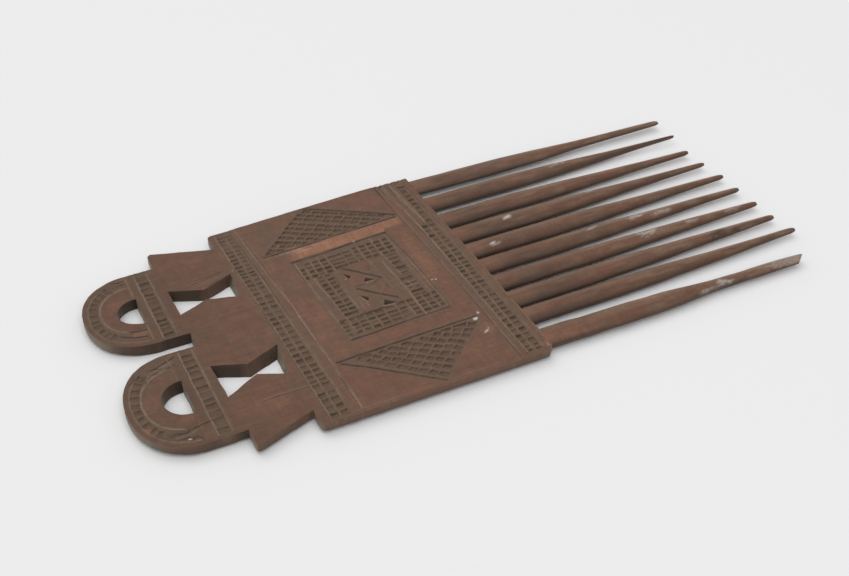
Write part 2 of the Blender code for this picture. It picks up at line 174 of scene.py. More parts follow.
@dataclass
class Sheet:
    """The carved face of the board, as depths below its top on a fine grid."""

    low: Point = (-124.0, -57.0)
    high: Point = (11.0, 56.0)
    pitch: float = 0.1
    cut_full: float = 0.8
    carved_from: float = 0.09
    lip_blur: float = 0.08
    gouging: float = 0.03
    gouging_blur: float = 0.3
    gouging_sizes: tuple[float, float] = (0.9, 2.3)
    around_blur: float = 0.42
    # Painted shade with grime in the cuts: how strongly far walls facing -Y and deep hollows darken.
    lee_shade_and_grime: float = 1.2
    hollow_shade_and_grime: float = 0.2
    hollow_power: float = 1.6
    # Painted highlight with wear on parts that stand above their surroundings.
    standing_gain: float = 3.4
    standing_rub_and_highlight: float = 0.6
    dull_blur: float = 1.2
    dull_gain: float = 2.0
    face_below: float = 0.06
    swell: float = 0.03
    swell_size: float = 23.0
    ripple: float = 0.022
    ripple_size: float = 10.0
    x: np.ndarray = field(init=False)
    y: np.ndarray = field(init=False)
    depth: np.ndarray = field(init=False)
    marks: dict[Mark, np.ndarray] = field(init=False)

    def __post_init__(self) -> None:
        """Lay out the empty grid."""
        self.x = np.arange(self.low[0], self.high[0], self.pitch)
        self.y = np.arange(self.low[1], self.high[1], self.pitch)
        self.depth = np.zeros((len(self.y), len(self.x)))
        self.marks = {mark: np.zeros_like(self.depth) for mark in Mark}

    def window(self, points: Sequence[Point], margin: float) -> tuple[Patch, np.ndarray, np.ndarray]:
        """Find the part of the grid around a few points.

        Args:
            points: Points that the window holds.
            margin: Room left around them.

        Returns:
            The grid slices, and the window's x and y coordinates.
        """
        x0 = min(point[0] for point in points) - margin
        x1 = max(point[0] for point in points) + margin
        y0 = min(point[1] for point in points) - margin
        y1 = max(point[1] for point in points) + margin
        columns = slice(*np.searchsorted(self.x, (x0, x1)))
        rows = slice(*np.searchsorted(self.y, (y0, y1)))
        return (rows, columns), self.x[None, columns], self.y[rows, None]

    def deepen(self, place: Patch, depth: np.ndarray) -> None:
        """Keep the deeper of what is cut already and a new cut.

        Args:
            place: Grid slices of the new cut.
            depth: Its depths in millimetres.
        """
        self.depth[place] = np.maximum(self.depth[place], depth)

    def paint(self, mark: Mark, place: Patch, amount: np.ndarray) -> None:
        """Keep the stronger of a mask and a new stroke.

        Args:
            mark: Which mask.
            place: Grid slices of the stroke.
            amount: Its strength from 0 to 1.
        """
        self.marks[mark][place] = np.maximum(self.marks[mark][place], amount)

    def blurred(self, values: np.ndarray, radius: float) -> np.ndarray:
        """Blur a grid of values with three passes of a box.

        Args:
            values: The grid.
            radius: Half the box's width in millimetres.

        Returns:
            The blurred grid.
        """
        reach = max(1, round(radius / self.pitch))
        width = 2 * reach + 1
        for _ in range(3):
            for axis in (0, 1):
                pads = [(0, 0), (0, 0)]
                pads[axis] = (reach + 1, reach)
                sums = np.cumsum(np.pad(values, pads, mode="edge"), axis=axis)
                upper = np.take(sums, range(width, sums.shape[axis]), axis=axis)
                lower = np.take(sums, range(0, sums.shape[axis] - width), axis=axis)
                values = (upper - lower) / width
        return values

    def wear(self) -> None:
        """Soften the carving and work out the masks that follow from it."""
        sharp, x, y = self.depth, self.x[None, :], self.y[:, None]
        carved = (sharp > self.carved_from).astype(float)
        gouged = HAND.at(x, y, self.gouging_sizes[0]) + WARP.at(x, y, self.gouging_sizes[1])
        gouged = self.gouging * self.blurred(carved, self.gouging_blur) * gouged
        self.depth = self.blurred(sharp, self.lip_blur) + gouged
        around = self.blurred(sharp, self.around_blur)
        # Painted shade with grime: walls that face -Y and the deepest hollows are darkened in the cut mask.
        lee = unit(-np.gradient(self.depth, self.pitch, axis=0))
        hollow = np.clip(self.depth / self.cut_full, 0.0, 1.5)
        shade_and_grime = unit(self.lee_shade_and_grime * lee + self.hollow_shade_and_grime * hollow**self.hollow_power)
        self.marks[Mark.CUT] = np.maximum(self.marks[Mark.CUT], shade_and_grime)
        # Painted highlight with wear: parts standing above their surroundings are lightened.
        standing = self.standing_rub_and_highlight * unit((around - self.depth) * self.standing_gain)
        self.marks[Mark.RUBBED_AND_LIT] = np.maximum(self.marks[Mark.RUBBED_AND_LIT], standing)
        self.marks[Mark.DULL] = unit(self.blurred(carved, self.dull_blur) * self.dull_gain)

    def read(self, values: np.ndarray, x: np.ndarray, y: np.ndarray) -> np.ndarray:
        """Read a grid of values between its points.

        Args:
            values: The grid.
            x: Places along the board.
            y: Places across the board.

        Returns:
            The value at each place.
        """
        u = np.clip((x - self.x[0]) / self.pitch, 0.0, len(self.x) - 1.001)
        v = np.clip((y - self.y[0]) / self.pitch, 0.0, len(self.y) - 1.001)
        column, row = u.astype(int), v.astype(int)
        u, v = u - column, v - row
        near = values[row, column] * (1.0 - u) + values[row, column + 1] * u
        far = values[row + 1, column] * (1.0 - u) + values[row + 1, column + 1] * u
        return near * (1.0 - v) + far * v

    def top(self, x: np.ndarray, y: np.ndarray) -> np.ndarray:
        """Return the height of the carved face.

        Args:
            x: Places along the board.
            y: Places across the board.

        Returns:
            The height at each place.
        """
        swell = self.swell * WARP.at(x, y, self.swell_size)
        swell = swell + self.ripple * WARP.at(x * 3.0, y * 0.7, self.ripple_size)
        return THICKNESS - self.face_below + swell - self.read(self.depth, x, y)


def reach_from(start: Point, end: Point, x: np.ndarray, y: np.ndarray) -> tuple[np.ndarray, np.ndarray]:
    """Measure from one stretch of a line.

    Args:
        start: Where the stretch begins.
        end: Where it ends.
        x: Places along the board.
        y: Places across the board.

    Returns:
        How far each place lies to the left of the stretch, and past its ends.
    """
    run_x, run_y = end[0] - start[0], end[1] - start[1]
    length = math.hypot(run_x, run_y)
    along = ((x - start[0]) * run_x + (y - start[1]) * run_y) / length
    aside = ((y - start[1]) * run_x - (x - start[0]) * run_y) / length
    return aside, np.maximum(0.0, np.maximum(-along, along - length))


@dataclass(frozen=True)
class Groove:
    """A scored line, or with a small wall share a shallow track with a flat floor."""

    points: tuple[Point, ...]
    half_width: float = 0.42
    depth: float = 0.36
    wobble: float = 0.09
    wall_share: float = 1.0
    grime_and_shade: float = 0.3
    width_change: float = 0.15
    depth_change: float = 0.25
    grime_and_shade_change: float = 0.35

    def carve(self, sheet: Sheet) -> None:
        """Cut the line into a sheet.

        Args:
            sheet: The sheet to cut.
        """
        # The noise's second coordinate only gives each stretch its own run of changes.
        for start, end in zip(self.points, self.points[1:]):
            place, x, y = sheet.window((start, end), self.half_width + self.wobble + LINE_MARGIN)
            aside, past = reach_from(start, end, x, y)
            aside = aside + self.wobble * HAND.at(x + y, start[0] + start[1] * 3.0, 5.0)
            half = self.half_width * (1.0 + self.width_change * HAND.at(x + y, start[0] * 2.0 + 11.0, 3.0))
            fill = (1.0 - np.hypot(aside, past) / half) / self.wall_share
            deep = self.depth * (1.0 + self.depth_change * HAND.at(x + y, start[1] * 2.0 + 5.0, 4.0))
            sheet.deepen(place, deep * unit(fill))
            # Painted shade with grime darkens the groove along its hollow.
            uneven = 0.8 + self.grime_and_shade_change * HAND.at(x + y, start[0] + 23.0, 2.6)
            sheet.paint(Mark.CUT, place, self.grime_and_shade * uneven * unit(fill * 1.3))


@dataclass(frozen=True)
class RubbedHighlight:
    """A thin bright line along a lip: wear from handling, with a painted highlight."""

    points: tuple[Point, ...]
    strength: float
    half_width: float = 0.38
    wobble: float = 0.1

    def carve(self, sheet: Sheet) -> None:
        """Brighten the line on a sheet, as painted highlight with wear.

        Args:
            sheet: The sheet to mark.
        """
        for start, end in zip(self.points, self.points[1:]):
            place, x, y = sheet.window((start, end), self.half_width + LINE_MARGIN)
            aside, past = reach_from(start, end, x, y)
            aside = aside + self.wobble * HAND.at(x + y, start[0] + start[1] * 3.0, 5.0)
            fill = 1.0 - (np.hypot(aside, past) / self.half_width) ** 2
            broken = np.clip(0.9 + 0.4 * HAND.at(x + y, start[0] + 71.0, 3.1), 0.5, 1.0)
            sheet.paint(Mark.RUBBED_AND_LIT, place, self.strength * unit(fill) * broken)


@dataclass(frozen=True)
class Notch:
    """A short cut with a thin near lip, a sloping floor and a far wall."""

    centre: Point
    angle: float = 0.0
    length: float = 2.2
    width: float = 1.35
    depth: float = 0.7
    ramp: float = 0.34
    lip: float = 0.36
    sill: float = 0.42
    rounding: float = 0.22
    unsteady: float = 0.12
    deepest_at: float = 0.62
    skew: float = 0.0

    def carve(self, sheet: Sheet) -> None:
        """Cut the notch into a sheet.

        Args:
            sheet: The sheet to cut.
        """
        place, x, y = sheet.window((self.centre,), (self.length + self.width) / 2)
        unsteady_x = self.unsteady * HAND.at(x + 17.0, y, 1.3)
        unsteady_y = self.unsteady * HAND.at(x, y + 31.0, 1.5)
        x, y = x - self.centre[0] + unsteady_x, y - self.centre[1] + unsteady_y
        along = x * math.cos(self.angle) + y * math.sin(self.angle)
        across = y * math.cos(self.angle) - x * math.sin(self.angle)
        along = along - self.skew * across
        share = across / self.width + 0.5
        floor = self.sill + (1.0 - self.sill) * share / self.deepest_at
        far_wall = (1.0 - share) / (1.0 - self.deepest_at)
        walls = np.minimum(share * self.width / (self.lip / self.sill), far_wall)
        rounding = self.rounding * np.clip(2.0 * share - 1.0, -1.0, 1.0) ** 2
        ends = (self.length / 2 - rounding - np.abs(along)) / self.ramp
        fill = np.minimum(np.minimum(floor, walls), ends)
        sheet.deepen(place, self.depth * unit(fill))


@dataclass(frozen=True)
class Chip:
    """A deep cut with three walls that meet at one point."""

    corners: tuple[Point, Point, Point]
    deepest: Point
    depth: float

    def carve(self, sheet: Sheet) -> None:
        """Cut the chip into a sheet.

        Args:
            sheet: The sheet to cut.
        """
        place, x, y = sheet.window(self.corners, 0.2)
        fill = None
        for index, corner in enumerate(self.corners):
            following = self.corners[(index + 1) % 3]
            run_x, run_y = following[0] - corner[0], following[1] - corner[1]
            reach = (self.deepest[1] - corner[1]) * run_x - (self.deepest[0] - corner[0]) * run_y
            share = ((y - corner[1]) * run_x - (x - corner[0]) * run_y) / reach
            fill = share if fill is None else np.minimum(fill, share)
        sheet.deepen(place, self.depth * unit(fill))


@dataclass(frozen=True)
class Ladder:
    """A column of notches, each charted by the place of its steep far wall."""

    middle: float
    length: float
    walls: tuple[float, ...]
    drift: float = 0.0
    depth: float = 0.66
    widest: float = 3.3
    lead: float = 0.19
    worn_past: float = 60.0
    wear: float = 0.3
    wear_over: float = 6.0

    def freshness(self, wall: float) -> float:
        """Return how much of a notch's depth wear has left, for its place."""
        return 1.0 - self.wear * min(1.0, max(0.0, (wall - self.worn_past) / self.wear_over))

    def notches(self, draw: np.random.Generator) -> list[Notch]:
        """Return the column's notches, each a little off, as a hand cuts them.

        Args:
            draw: Source of the small differences.

        Returns:
            The notches.
        """
        found = []
        gaps = [upper - lower for upper, lower in zip(self.walls, self.walls[1:])]
        for wall, gap in zip(self.walls, gaps + gaps[-1:]):
            off = draw.normal(0.0, 1.0, 6)
            width = min(gap, self.widest)
            y = wall + (self.lead - 0.5) * width + 0.07 * off[1]
            found.append(Notch(
                centre=(self.middle + self.drift * y + 0.1 * off[0], y),
                angle=0.05 * off[2],
                length=self.length * (1.03 + 0.07 * off[3]),
                width=width * (0.95 + 0.04 * off[4]),
                depth=self.depth * (1.0 + 0.15 * off[5]) * self.freshness(wall),
            ))
        return found


@dataclass(frozen=True)
class Hatch:
    """A field of short cuts in slanting rows inside a triangle.

    Each row is charted by the far walls of its first and last cut and their count.
    """

    corners: tuple[Point, Point, Point]
    rows: tuple[tuple[Point, Point, int], ...]
    row_pitch: float = 2.8
    ridge: float = 0.26
    depth: float = 0.68
    lowering: float = 0.12
    wall: float = 0.35
    lead: float = 0.19
    skew: float = 0.42

    def clearance(self, x: np.ndarray, y: np.ndarray) -> np.ndarray:
        """Measure how far inside the triangle places lie.

        Args:
            x: Places along the board.
            y: Places across the board.

        Returns:
            The distance to the nearest side, negative outside.
        """
        middle = [np.array([sum(corner[axis] for corner in self.corners) / 3.0]) for axis in (0, 1)]
        least = np.array([math.inf])
        for index, corner in enumerate(self.corners):
            following = self.corners[(index + 1) % 3]
            inside, _ = reach_from(corner, following, *middle)
            here, _ = reach_from(corner, following, x, y)
            least = np.minimum(least, here * np.sign(inside))
        return least

    def notches(self, draw: np.random.Generator) -> list[Notch]:
        """Return the cuts of every row.

        Args:
            draw: Source of the small differences.

        Returns:
            The notches.
        """
        found = []
        for first, last, count in self.rows:
            run_x, run_y = (last[0] - first[0]) / (count - 1), (last[1] - first[1]) / (count - 1)
            angle = math.atan2(run_y, run_x)
            sine, cosine = math.sin(angle), math.cos(angle)
            back = (0.5 - self.lead) * self.row_pitch
            for step in range(count):
                off = draw.normal(0.0, 1.0, 6)
                x = first[0] + run_x * step + (sine - self.skew * cosine) * back
                y = first[1] + run_y * step - (cosine + self.skew * sine) * back
                found.append(Notch(
                    centre=(x + 0.13 * off[0], y + 0.13 * off[1]),
                    angle=angle + 0.07 * off[2],
                    length=(math.hypot(run_x, run_y) - self.ridge) * (1.0 + 0.06 * off[3]),
                    width=self.row_pitch * (0.92 + 0.05 * off[4]),
                    depth=self.depth * (1.0 + 0.07 * off[5]),
                    skew=self.skew,
                ))
        return found

    def carve(self, sheet: Sheet, draw: np.random.Generator) -> None:
        """Lower the triangle a little and cut its field, no cut past its sides.

        Args:
            sheet: The sheet to cut.
            draw: Source of the small differences.
        """
        before = sheet.depth.copy()
        for notch in self.notches(draw):
            notch.carve(sheet)
        within = unit(self.clearance(sheet.x[None, :], sheet.y[:, None]) / self.wall)
        cut = np.maximum(sheet.depth, self.lowering) * within
        sheet.depth = np.maximum(before, cut)


@dataclass
class Carving:
    """Everything that is cut into the board's front."""

    far_loop: DShape
    near_loop: DShape
    far_ring_line: DShape = DShape(base_x=-104.4, mid_y=22.6, half=12.2, reach=12.3)
    near_ring_line: DShape = DShape(base_x=-102.6, mid_y=-25.0, half=14.2, reach=13.8)
    far_ring: tuple[float, ...] = (59.0, 51.0, 40.0, 29.0, 19.0, 7.0, -2.0, -11.0, -20.0, -31.0, -41.0)
    near_ring: tuple[float, ...] = (48.5, 39.5, 28.5, 17.5, 7.5, -0.5, -9.0, -19.0, -31.0, -40.0)
    ring_inset: float = 3.5
    ring_length: float = 3.2
    ring_width: float = 2.5
    ring_depth: float = 0.64
    ring_ramp: float = 0.6
    seed: int = 61

    def ladders(self) -> tuple[Ladder, ...]:
        """Return the columns of notches in the bands, at the loops and in the frame.

        Returns:
            The ladders.
        """
        left = (
            48.3, 46.3, 44.3, 41.5, 39.0, 36.5, 34.0, 32.0, 29.5, 27.2, 25.0, 23.2, 20.8, 18.0, 15.7, 13.0,
            10.5, 7.2, 4.7, 1.3, -1.8, -4.2, -7.0, -10.0, -13.0, -16.0, -18.8, -21.5, -24.3, -28.0, -30.5,
            -33.0, -35.5, -37.6,
        )
        left_end = (-41.9, -44.8, -48.0, -51.3)
        right = (
            47.0, 43.5, 40.8, 38.0, 35.0, 32.0, 29.0, 26.3, 23.2, 20.2, 17.3, 14.5, 11.8, 9.0, 6.0, 3.5,
            0.8, -2.0, -4.0, -6.0, -8.5, -11.0, -13.5, -16.0, -19.0, -22.0, -24.5, -27.0, -29.5, -32.0,
            -35.0, -38.0, -41.0, -44.0, -47.0, -50.0, -52.0,
        )
        far_loop = (38.5, 35.0, 32.0, 28.6, 26.0, 24.0, 20.3, 17.5, 13.8, 11.5, 9.2, 6.4)
        near_loop = (-6.7, -9.5, -12.7, -15.0, -18.5, -22.7, -25.5, -28.8, -31.3, -34.8, -38.2, -42.4)
        far_left, far_right = (20.9, 18.6, 16.4, 13.9), (22.3, 20.1, 17.8, 15.3)
        side = (12.2, 9.7, 7.5, 5.0, 2.2, -0.3, -3.0, -5.4, -7.6, -10.0)
        frame_walls = (-13.2, -15.8, -17.8, -20.0)
        near_frame = tuple(
            Ladder(x, length, tuple(wall + (x + 45.0) / 30.0 for wall in frame_walls), depth=depth)
            for x, length, depth in (
                (-46.7, 2.3, 0.6), (-43.2, 3.0, 0.7), (-40.1, 2.6, 0.7), (-36.9, 2.8, 0.7), (-33.4, 3.3, 0.64),
                (-29.4, 3.7, 0.56), (-25.4, 3.4, 0.6), (-21.7, 2.9, 0.66), (-18.5, 2.7, 0.7), (-15.6, 2.5, 0.7),
                (-12.9, 2.1, 0.6),
            )
        )
        return near_frame + (
            Ladder(-66.55, 2.8, left, drift=-0.0206, worn_past=36.0),
            Ladder(-63.5, 2.6, left, drift=-0.024, worn_past=22.0),
            Ladder(-66.5, 2.9, left_end, drift=-0.0206),
            Ladder(-63.3, 2.8, left_end, drift=-0.024),
            Ladder(4.25, 2.5, right, drift=-0.009),
            Ladder(1.5, 2.4, tuple(wall for wall in right if wall < 24.0), drift=-0.0107),
            Ladder(-99.0, 3.5, far_loop, drift=-0.006),
            Ladder(-97.3, 3.7, near_loop),
            Ladder(-47.9, 1.7, (18.4, 16.2, 13.8), depth=0.6),
            Ladder(-45.4, 2.6, far_left),
            Ladder(-42.4, 2.6, far_left),
            Ladder(-39.5, 2.5, far_left),
            Ladder(-34.9, 4.9, (21.3, 18.9, 16.7, 14.6), depth=0.64),
            Ladder(-30.4, 3.4, (21.5, 19.2, 17.1, 15.0), depth=0.52),
            Ladder(-27.2, 2.0, far_right, depth=0.62),
            Ladder(-24.2, 2.6, far_right),
            Ladder(-21.4, 2.3, far_right),
            Ladder(-18.4, 2.7, far_right),
            Ladder(-15.2, 2.6, far_right),
            Ladder(-43.65, 2.45, side, drift=-0.035),
            Ladder(-40.85, 2.4, side, drift=-0.03),
            Ladder(-17.3, 4.4, (13.4, 11.1, 8.6, 5.6, 2.2, -1.0, -4.0, -6.4, -8.6, -10.6)),
        )

    def hatches(self) -> tuple[Hatch, ...]:
        """Return the two hatched triangles.

        Returns:
            The far one and the near one.
        """
        far_rows = (
            ((-33.0, 50.5), (-9.6, 36.3), 9), ((-35.7, 49.2), (-12.4, 35.0), 9),
            ((-37.5, 47.6), (-17.1, 34.9), 8), ((-40.3, 45.4), (-20.6, 33.4), 8),
            ((-42.5, 43.5), (-24.4, 33.1), 7), ((-44.4, 41.2), (-30.3, 32.9), 6),
            ((-46.8, 39.3), (-35.4, 32.7), 5), ((-48.8, 37.2), (-40.3, 32.6), 4),
            ((-51.1, 35.8), (-43.3, 31.9), 4), ((-53.0, 34.0), (-47.5, 31.2), 3),
            ((-54.0, 32.4), (-51.1, 31.0), 2),
        )
        near_rows = (
            ((-47.3, -32.4), (-26.9, -50.0), 9), ((-45.0, -31.5), (-24.8, -47.2), 9),
            ((-39.8, -32.4), (-22.5, -44.9), 8), ((-36.2, -32.0), (-19.4, -43.1), 7),
            ((-31.2, -32.0), (-17.5, -40.9), 6), ((-25.3, -32.0), (-15.3, -38.6), 5),
            ((-20.5, -31.9), (-12.5, -36.3), 4), ((-17.0, -30.9), (-10.3, -34.2), 3),
            ((-12.0, -30.7), (-7.5, -32.3), 2), ((-48.6, -36.6), (-30.6, -51.4), 8),
        )
        far = Hatch(((-57.5, 30.9), (-34.8, 53.0), (-5.0, 33.6)), far_rows)
        near = Hatch(((-56.0, -31.4), (-5.0, -31.0), (-28.0, -53.4)), near_rows, row_pitch=3.0)
        return (far, near)

    def grooves(self) -> tuple[Groove, ...]:
        """Return the scored lines.

        Returns:
            The lines, style by style.
        """
        plain: dict[str, float] = {}
        fine = {"half_width": 0.36, "depth": 0.28}
        crack = {"half_width": 0.24, "depth": 0.24, "grime_and_shade": 1.0, "wobble": 0.2}
        dark = {"half_width": 0.5, "depth": 0.42, "grime_and_shade": 1.0}
        bold = {"half_width": 0.6, "depth": 0.5, "grime_and_shade": 1.15}
        charts = (
            (fine, (
                ((-69.4, 51.0), (-68.9, 30.0), (-67.9, 0.0), (-67.3, -53.5)),
                ((0.4, 54.6), (1.5, 36.0), (2.1, 24.0)), ((-104.2, 40.9), (-104.5, 29.6)),
                ((-104.4, 12.6), (-104.4, 4.4)), ((-96.7, 41.6), (-96.4, 3.6)),
                ((-103.4, -4.0), (-103.2, -15.8)), ((-103.2, -34.6), (-103.6, -45.6)),
                ((-94.9, -3.6), (-94.9, -46.0)), ((-46.8, 22.8), (-46.3, 7.0), (-45.2, -5.0), (-44.7, -12.4)),
                ((-39.7, 12.8), (-39.0, -10.4)), ((-13.9, 14.6), (-13.2, -10.5)),
                ((-20.0, 24.4), (-19.8, 15.6), (-18.9, 6.5), (-18.6, 1.5)),
                ((-25.8, 14.6), (-25.2, 8.8), (-24.5, 2.5), (-23.7, -4.8), (-23.4, -11.8)),
                ((-26.4, 11.1), (-26.8, 9.4), (-27.8, 7.8)), ((-38.2, 12.6), (-37.6, 0.0), (-37.4, -12.0)),
                ((-37.6, 14.4), (-28.6, 15.0)), ((-35.4, 1.3), (-31.5, 1.5)), ((-28.4, 1.4), (-25.1, 2.1)),
                ((-31.2, 0.2), (-29.4, -0.3), (-28.4, 0.4)),
            )),
            (plain, (
                ((-63.6, 51.5), (-61.6, 20.0), (-60.6, -53.0)), ((-61.4, 51.5), (-59.4, 25.0), (-57.0, -53.0)),
                ((5.8, 54.6), (6.5, 12.0), (6.4, -54.0)), ((-101.3, 41.6), (-101.5, 3.4)),
                ((-99.8, -3.4), (-99.5, -46.0)), ((-49.8, 23.2), (-49.2, 9.0), (-48.0, -12.0), (-47.4, -22.8)),
                ((-21.7, 11.0), (-21.4, 4.7), (-20.5, -4.8), (-20.0, -21.6)),
            )),
            ({"grime_and_shade": 0.9}, (((-5.4, 54.6), (-4.9, 36.0), (-4.0, 20.0), (-2.9, -13.0), (-2.3, -53.5)),)),
            ({"grime_and_shade": 0.8}, (((-2.9, 54.6), (-1.1, 30.0), (0.1, -20.0), (0.3, -53.5)),)),
            ({"half_width": 0.5, "depth": 0.6, "grime_and_shade": 0.8}, (((-3.7, 54.8), (-3.2, 51.6), (-3.0, 48.0)),)),
            ({"half_width": 0.4, "depth": 0.5, "grime_and_shade": 0.6}, (((-1.5, 54.8), (-1.3, 52.6)),)),
            ({"half_width": 0.45, "depth": 0.55, "grime_and_shade": 0.7}, (((1.5, 54.8), (1.3, 52.8)),)),
            ({"half_width": 0.4, "depth": 0.45, "grime_and_shade": 0.6}, (((4.0, 54.8), (3.8, 52.6)),)),
            ({"half_width": 0.34, "depth": 0.34, "grime_and_shade": 0.8}, (
                ((-0.6, 51.0), (-0.2, 44.0), (0.4, 38.0), (0.9, 33.0)),
            )),
            ({"half_width": 0.8, "depth": 0.6, "grime_and_shade": 1.0}, (((3.1, 49.6), (5.0, 49.2)),)),
            (dark, (
                ((-49.9, 23.3), (-38.6, 23.7), (-31.8, 24.3), (-26.4, 24.9), (-13.3, 25.6)),
                ((-47.4, -23.2), (-38.6, -23.0), (-28.2, -22.2), (-11.0, -21.9)),
                ((-47.6, -13.2), (-38.0, -12.8), (-23.0, -12.4)),
                ((-57.6, 30.3), (-45.0, 30.7), (-32.4, 31.5), (-6.0, 32.7)),
                ((-56.0, -31.1), (-46.0, -30.9), (-30.0, -30.4), (-6.2, -29.9)),
            )),
            ({"grime_and_shade": 0.5}, (((-13.4, 25.2), (-12.2, 13.8), (-11.6, 0.0), (-11.0, -22.0)),)),
            (bold, (
                ((-36.9, 14.1), (-31.0, 8.4), (-25.2, 2.5)), ((-35.1, 0.3), (-30.2, -4.6), (-24.8, -9.6)),
                ((-34.4, 51.9), (-28.9, 49.0), (-18.0, 42.2), (-5.7, 34.2)),
                ((-54.8, -32.0), (-50.3, -35.4), (-45.3, -39.1), (-39.4, -44.1), (-28.3, -53.2)),
            )),
            ({"half_width": 0.4, "depth": 0.3, "grime_and_shade": 0.5}, (((-25.6, -1.4), (-25.0, -4.2)),)),
            (crack, (
                ((-83.2, -37.6), (-77.0, -37.2), (-70.0, -37.5), (-63.0, -37.3)),
                ((-84.6, 26.8), (-77.5, 27.4), (-71.4, 28.5)), ((-83.4, 25.7), (-77.0, 26.6), (-71.2, 28.1)),
                ((-82.2, 24.6), (-76.4, 25.9), (-71.1, 27.8)), ((-80.0, 23.7), (-75.8, 25.2)),
                ((-86.0, 28.4), (-79.4, 28.4), (-72.6, 29.3)),
            )),
        )
        return tuple(Groove(line, **style) for style, lines in charts for line in lines)

    def flourishes(self) -> tuple[Groove, ...]:
        """Return the slanting cuts where each ring of notches meets its loop's base.

        Returns:
            The cuts.
        """
        ends = (
            ((-109.2, 39.2), (-107.0, 38.5), (-104.8, 38.9)), ((-110.8, 37.0), (-107.6, 36.6), (-104.8, 37.5)),
            ((-113.8, 34.0), (-111.4, 34.7), (-109.4, 33.8)),
            ((-113.4, 10.9), (-111.4, 9.4), (-109.0, 8.1), (-105.4, 7.3)),
            ((-111.6, 12.2), (-108.0, 11.0), (-105.0, 10.7)),
            ((-110.6, -8.9), (-107.6, -8.6), (-104.0, -7.4), (-101.0, -6.1)),
            ((-113.4, -12.0), (-110.0, -11.2), (-106.0, -11.3), (-101.8, -9.7)),
            ((-108.8, -8.7), (-106.0, -9.8)),
            ((-117.2, -12.8), (-115.0, -10.9), (-113.8, -12.9), (-111.6, -11.2)),
            ((-116.2, -12.9), (-113.2, -13.9), (-110.4, -14.1)),
            ((-112.6, -39.8), (-110.6, -39.6), (-107.6, -40.3), (-105.2, -39.3), (-102.8, -38.9)),
            ((-102.8, -38.9), (-99.4, -38.3), (-95.6, -37.8)),
            ((-111.6, -42.0), (-107.6, -42.4), (-104.4, -43.6)),
            ((-106.4, -43.8), (-105.2, -42.4), (-103.8, -44.2)),
        )
        return tuple(Groove(line, half_width=0.36, depth=0.36, wobble=0.12, grime_and_shade=1.15) for line in ends)

    def chips(self) -> tuple[Chip, ...]:
        """Return the middle field's four deep cuts.

        Returns:
            The chips.
        """
        return (
            Chip(((-34.2, 7.6), (-36.7, 10.4), (-35.6, 6.4)), (-35.1, 8.0), 1.5),
            Chip(((-31.7, 2.7), (-27.4, 2.3), (-30.4, 4.9)), (-30.1, 3.7), 1.4),
            Chip(((-33.4, -5.6), (-36.3, -3.0), (-34.3, -7.3)), (-34.3, -5.6), 1.5),
            Chip(((-31.0, -11.6), (-25.4, -12.2), (-29.3, -8.7)), (-29.0, -10.5), 1.5),
        )

    def ring(self, loop: DShape, degrees: Sequence[float], draw: np.random.Generator) -> list[Notch]:
        """Return the notches that stand square to a loop's round edge.

        Args:
            loop: The loop's outline.
            degrees: Where each notch stands, from -X toward +Y.
            draw: Source of the small differences.

        Returns:
            The notches.
        """
        found = []
        for place in degrees:
            off = draw.normal(0.0, 1.0, 4)
            angle = math.radians(place + 0.6 * off[0])
            outer, inner = loop.point(angle, self.ring_inset - 1.0), loop.point(angle, self.ring_inset + 1.0)
            found.append(Notch(
                centre=((outer[0] + inner[0]) / 2, (outer[1] + inner[1]) / 2),
                angle=math.atan2(inner[1] - outer[1], inner[0] - outer[0]) + 0.08 * off[1],
                length=self.ring_length * (1.0 + 0.1 * off[2]),
                width=self.ring_width * (1.0 + 0.16 * off[3]),
                depth=self.ring_depth,
                ramp=self.ring_ramp,
            ))
        return found

    def tracks(self) -> tuple[Groove, ...]:
        """Return the shallow sunken strips that the ladders and rings stand in.

        Returns:
            The strips.
        """
        strips = (
            (((-66.2, 50.6), (-65.0, 22.0), (-64.2, -39.0), (-63.9, -52.6)), 2.8),
            (((3.7, 51.4), (4.1, 23.0)), 1.4),
            (((2.9, 23.0), (3.3, -53.2)), 2.8),
            (((-99.1, 40.2), (-99.0, 4.6)), 1.85),
            (((-97.3, -5.2), (-97.3, -45.2)), 1.9),
            (((-45.4, 19.2), (-17.6, 20.0)), 4.6),
            (((-43.9, -17.7), (-16.8, -17.5)), 4.4),
            (((-43.7, 18.0), (-42.2, -16.0)), 2.7),
            (((-17.3, 18.0), (-17.0, -16.0)), 2.7),
            (tuple(self.far_loop.arc(24, (72.0, -52.0), self.ring_inset)), 1.7),
            (tuple(self.near_loop.arc(24, (68.0, -60.0), self.ring_inset)), 1.7),
        )
        flat = {"depth": 0.15, "wall_share": 0.2, "grime_and_shade": 0.0}
        return tuple(Groove(line, half_width=half, **flat) for line, half in strips)

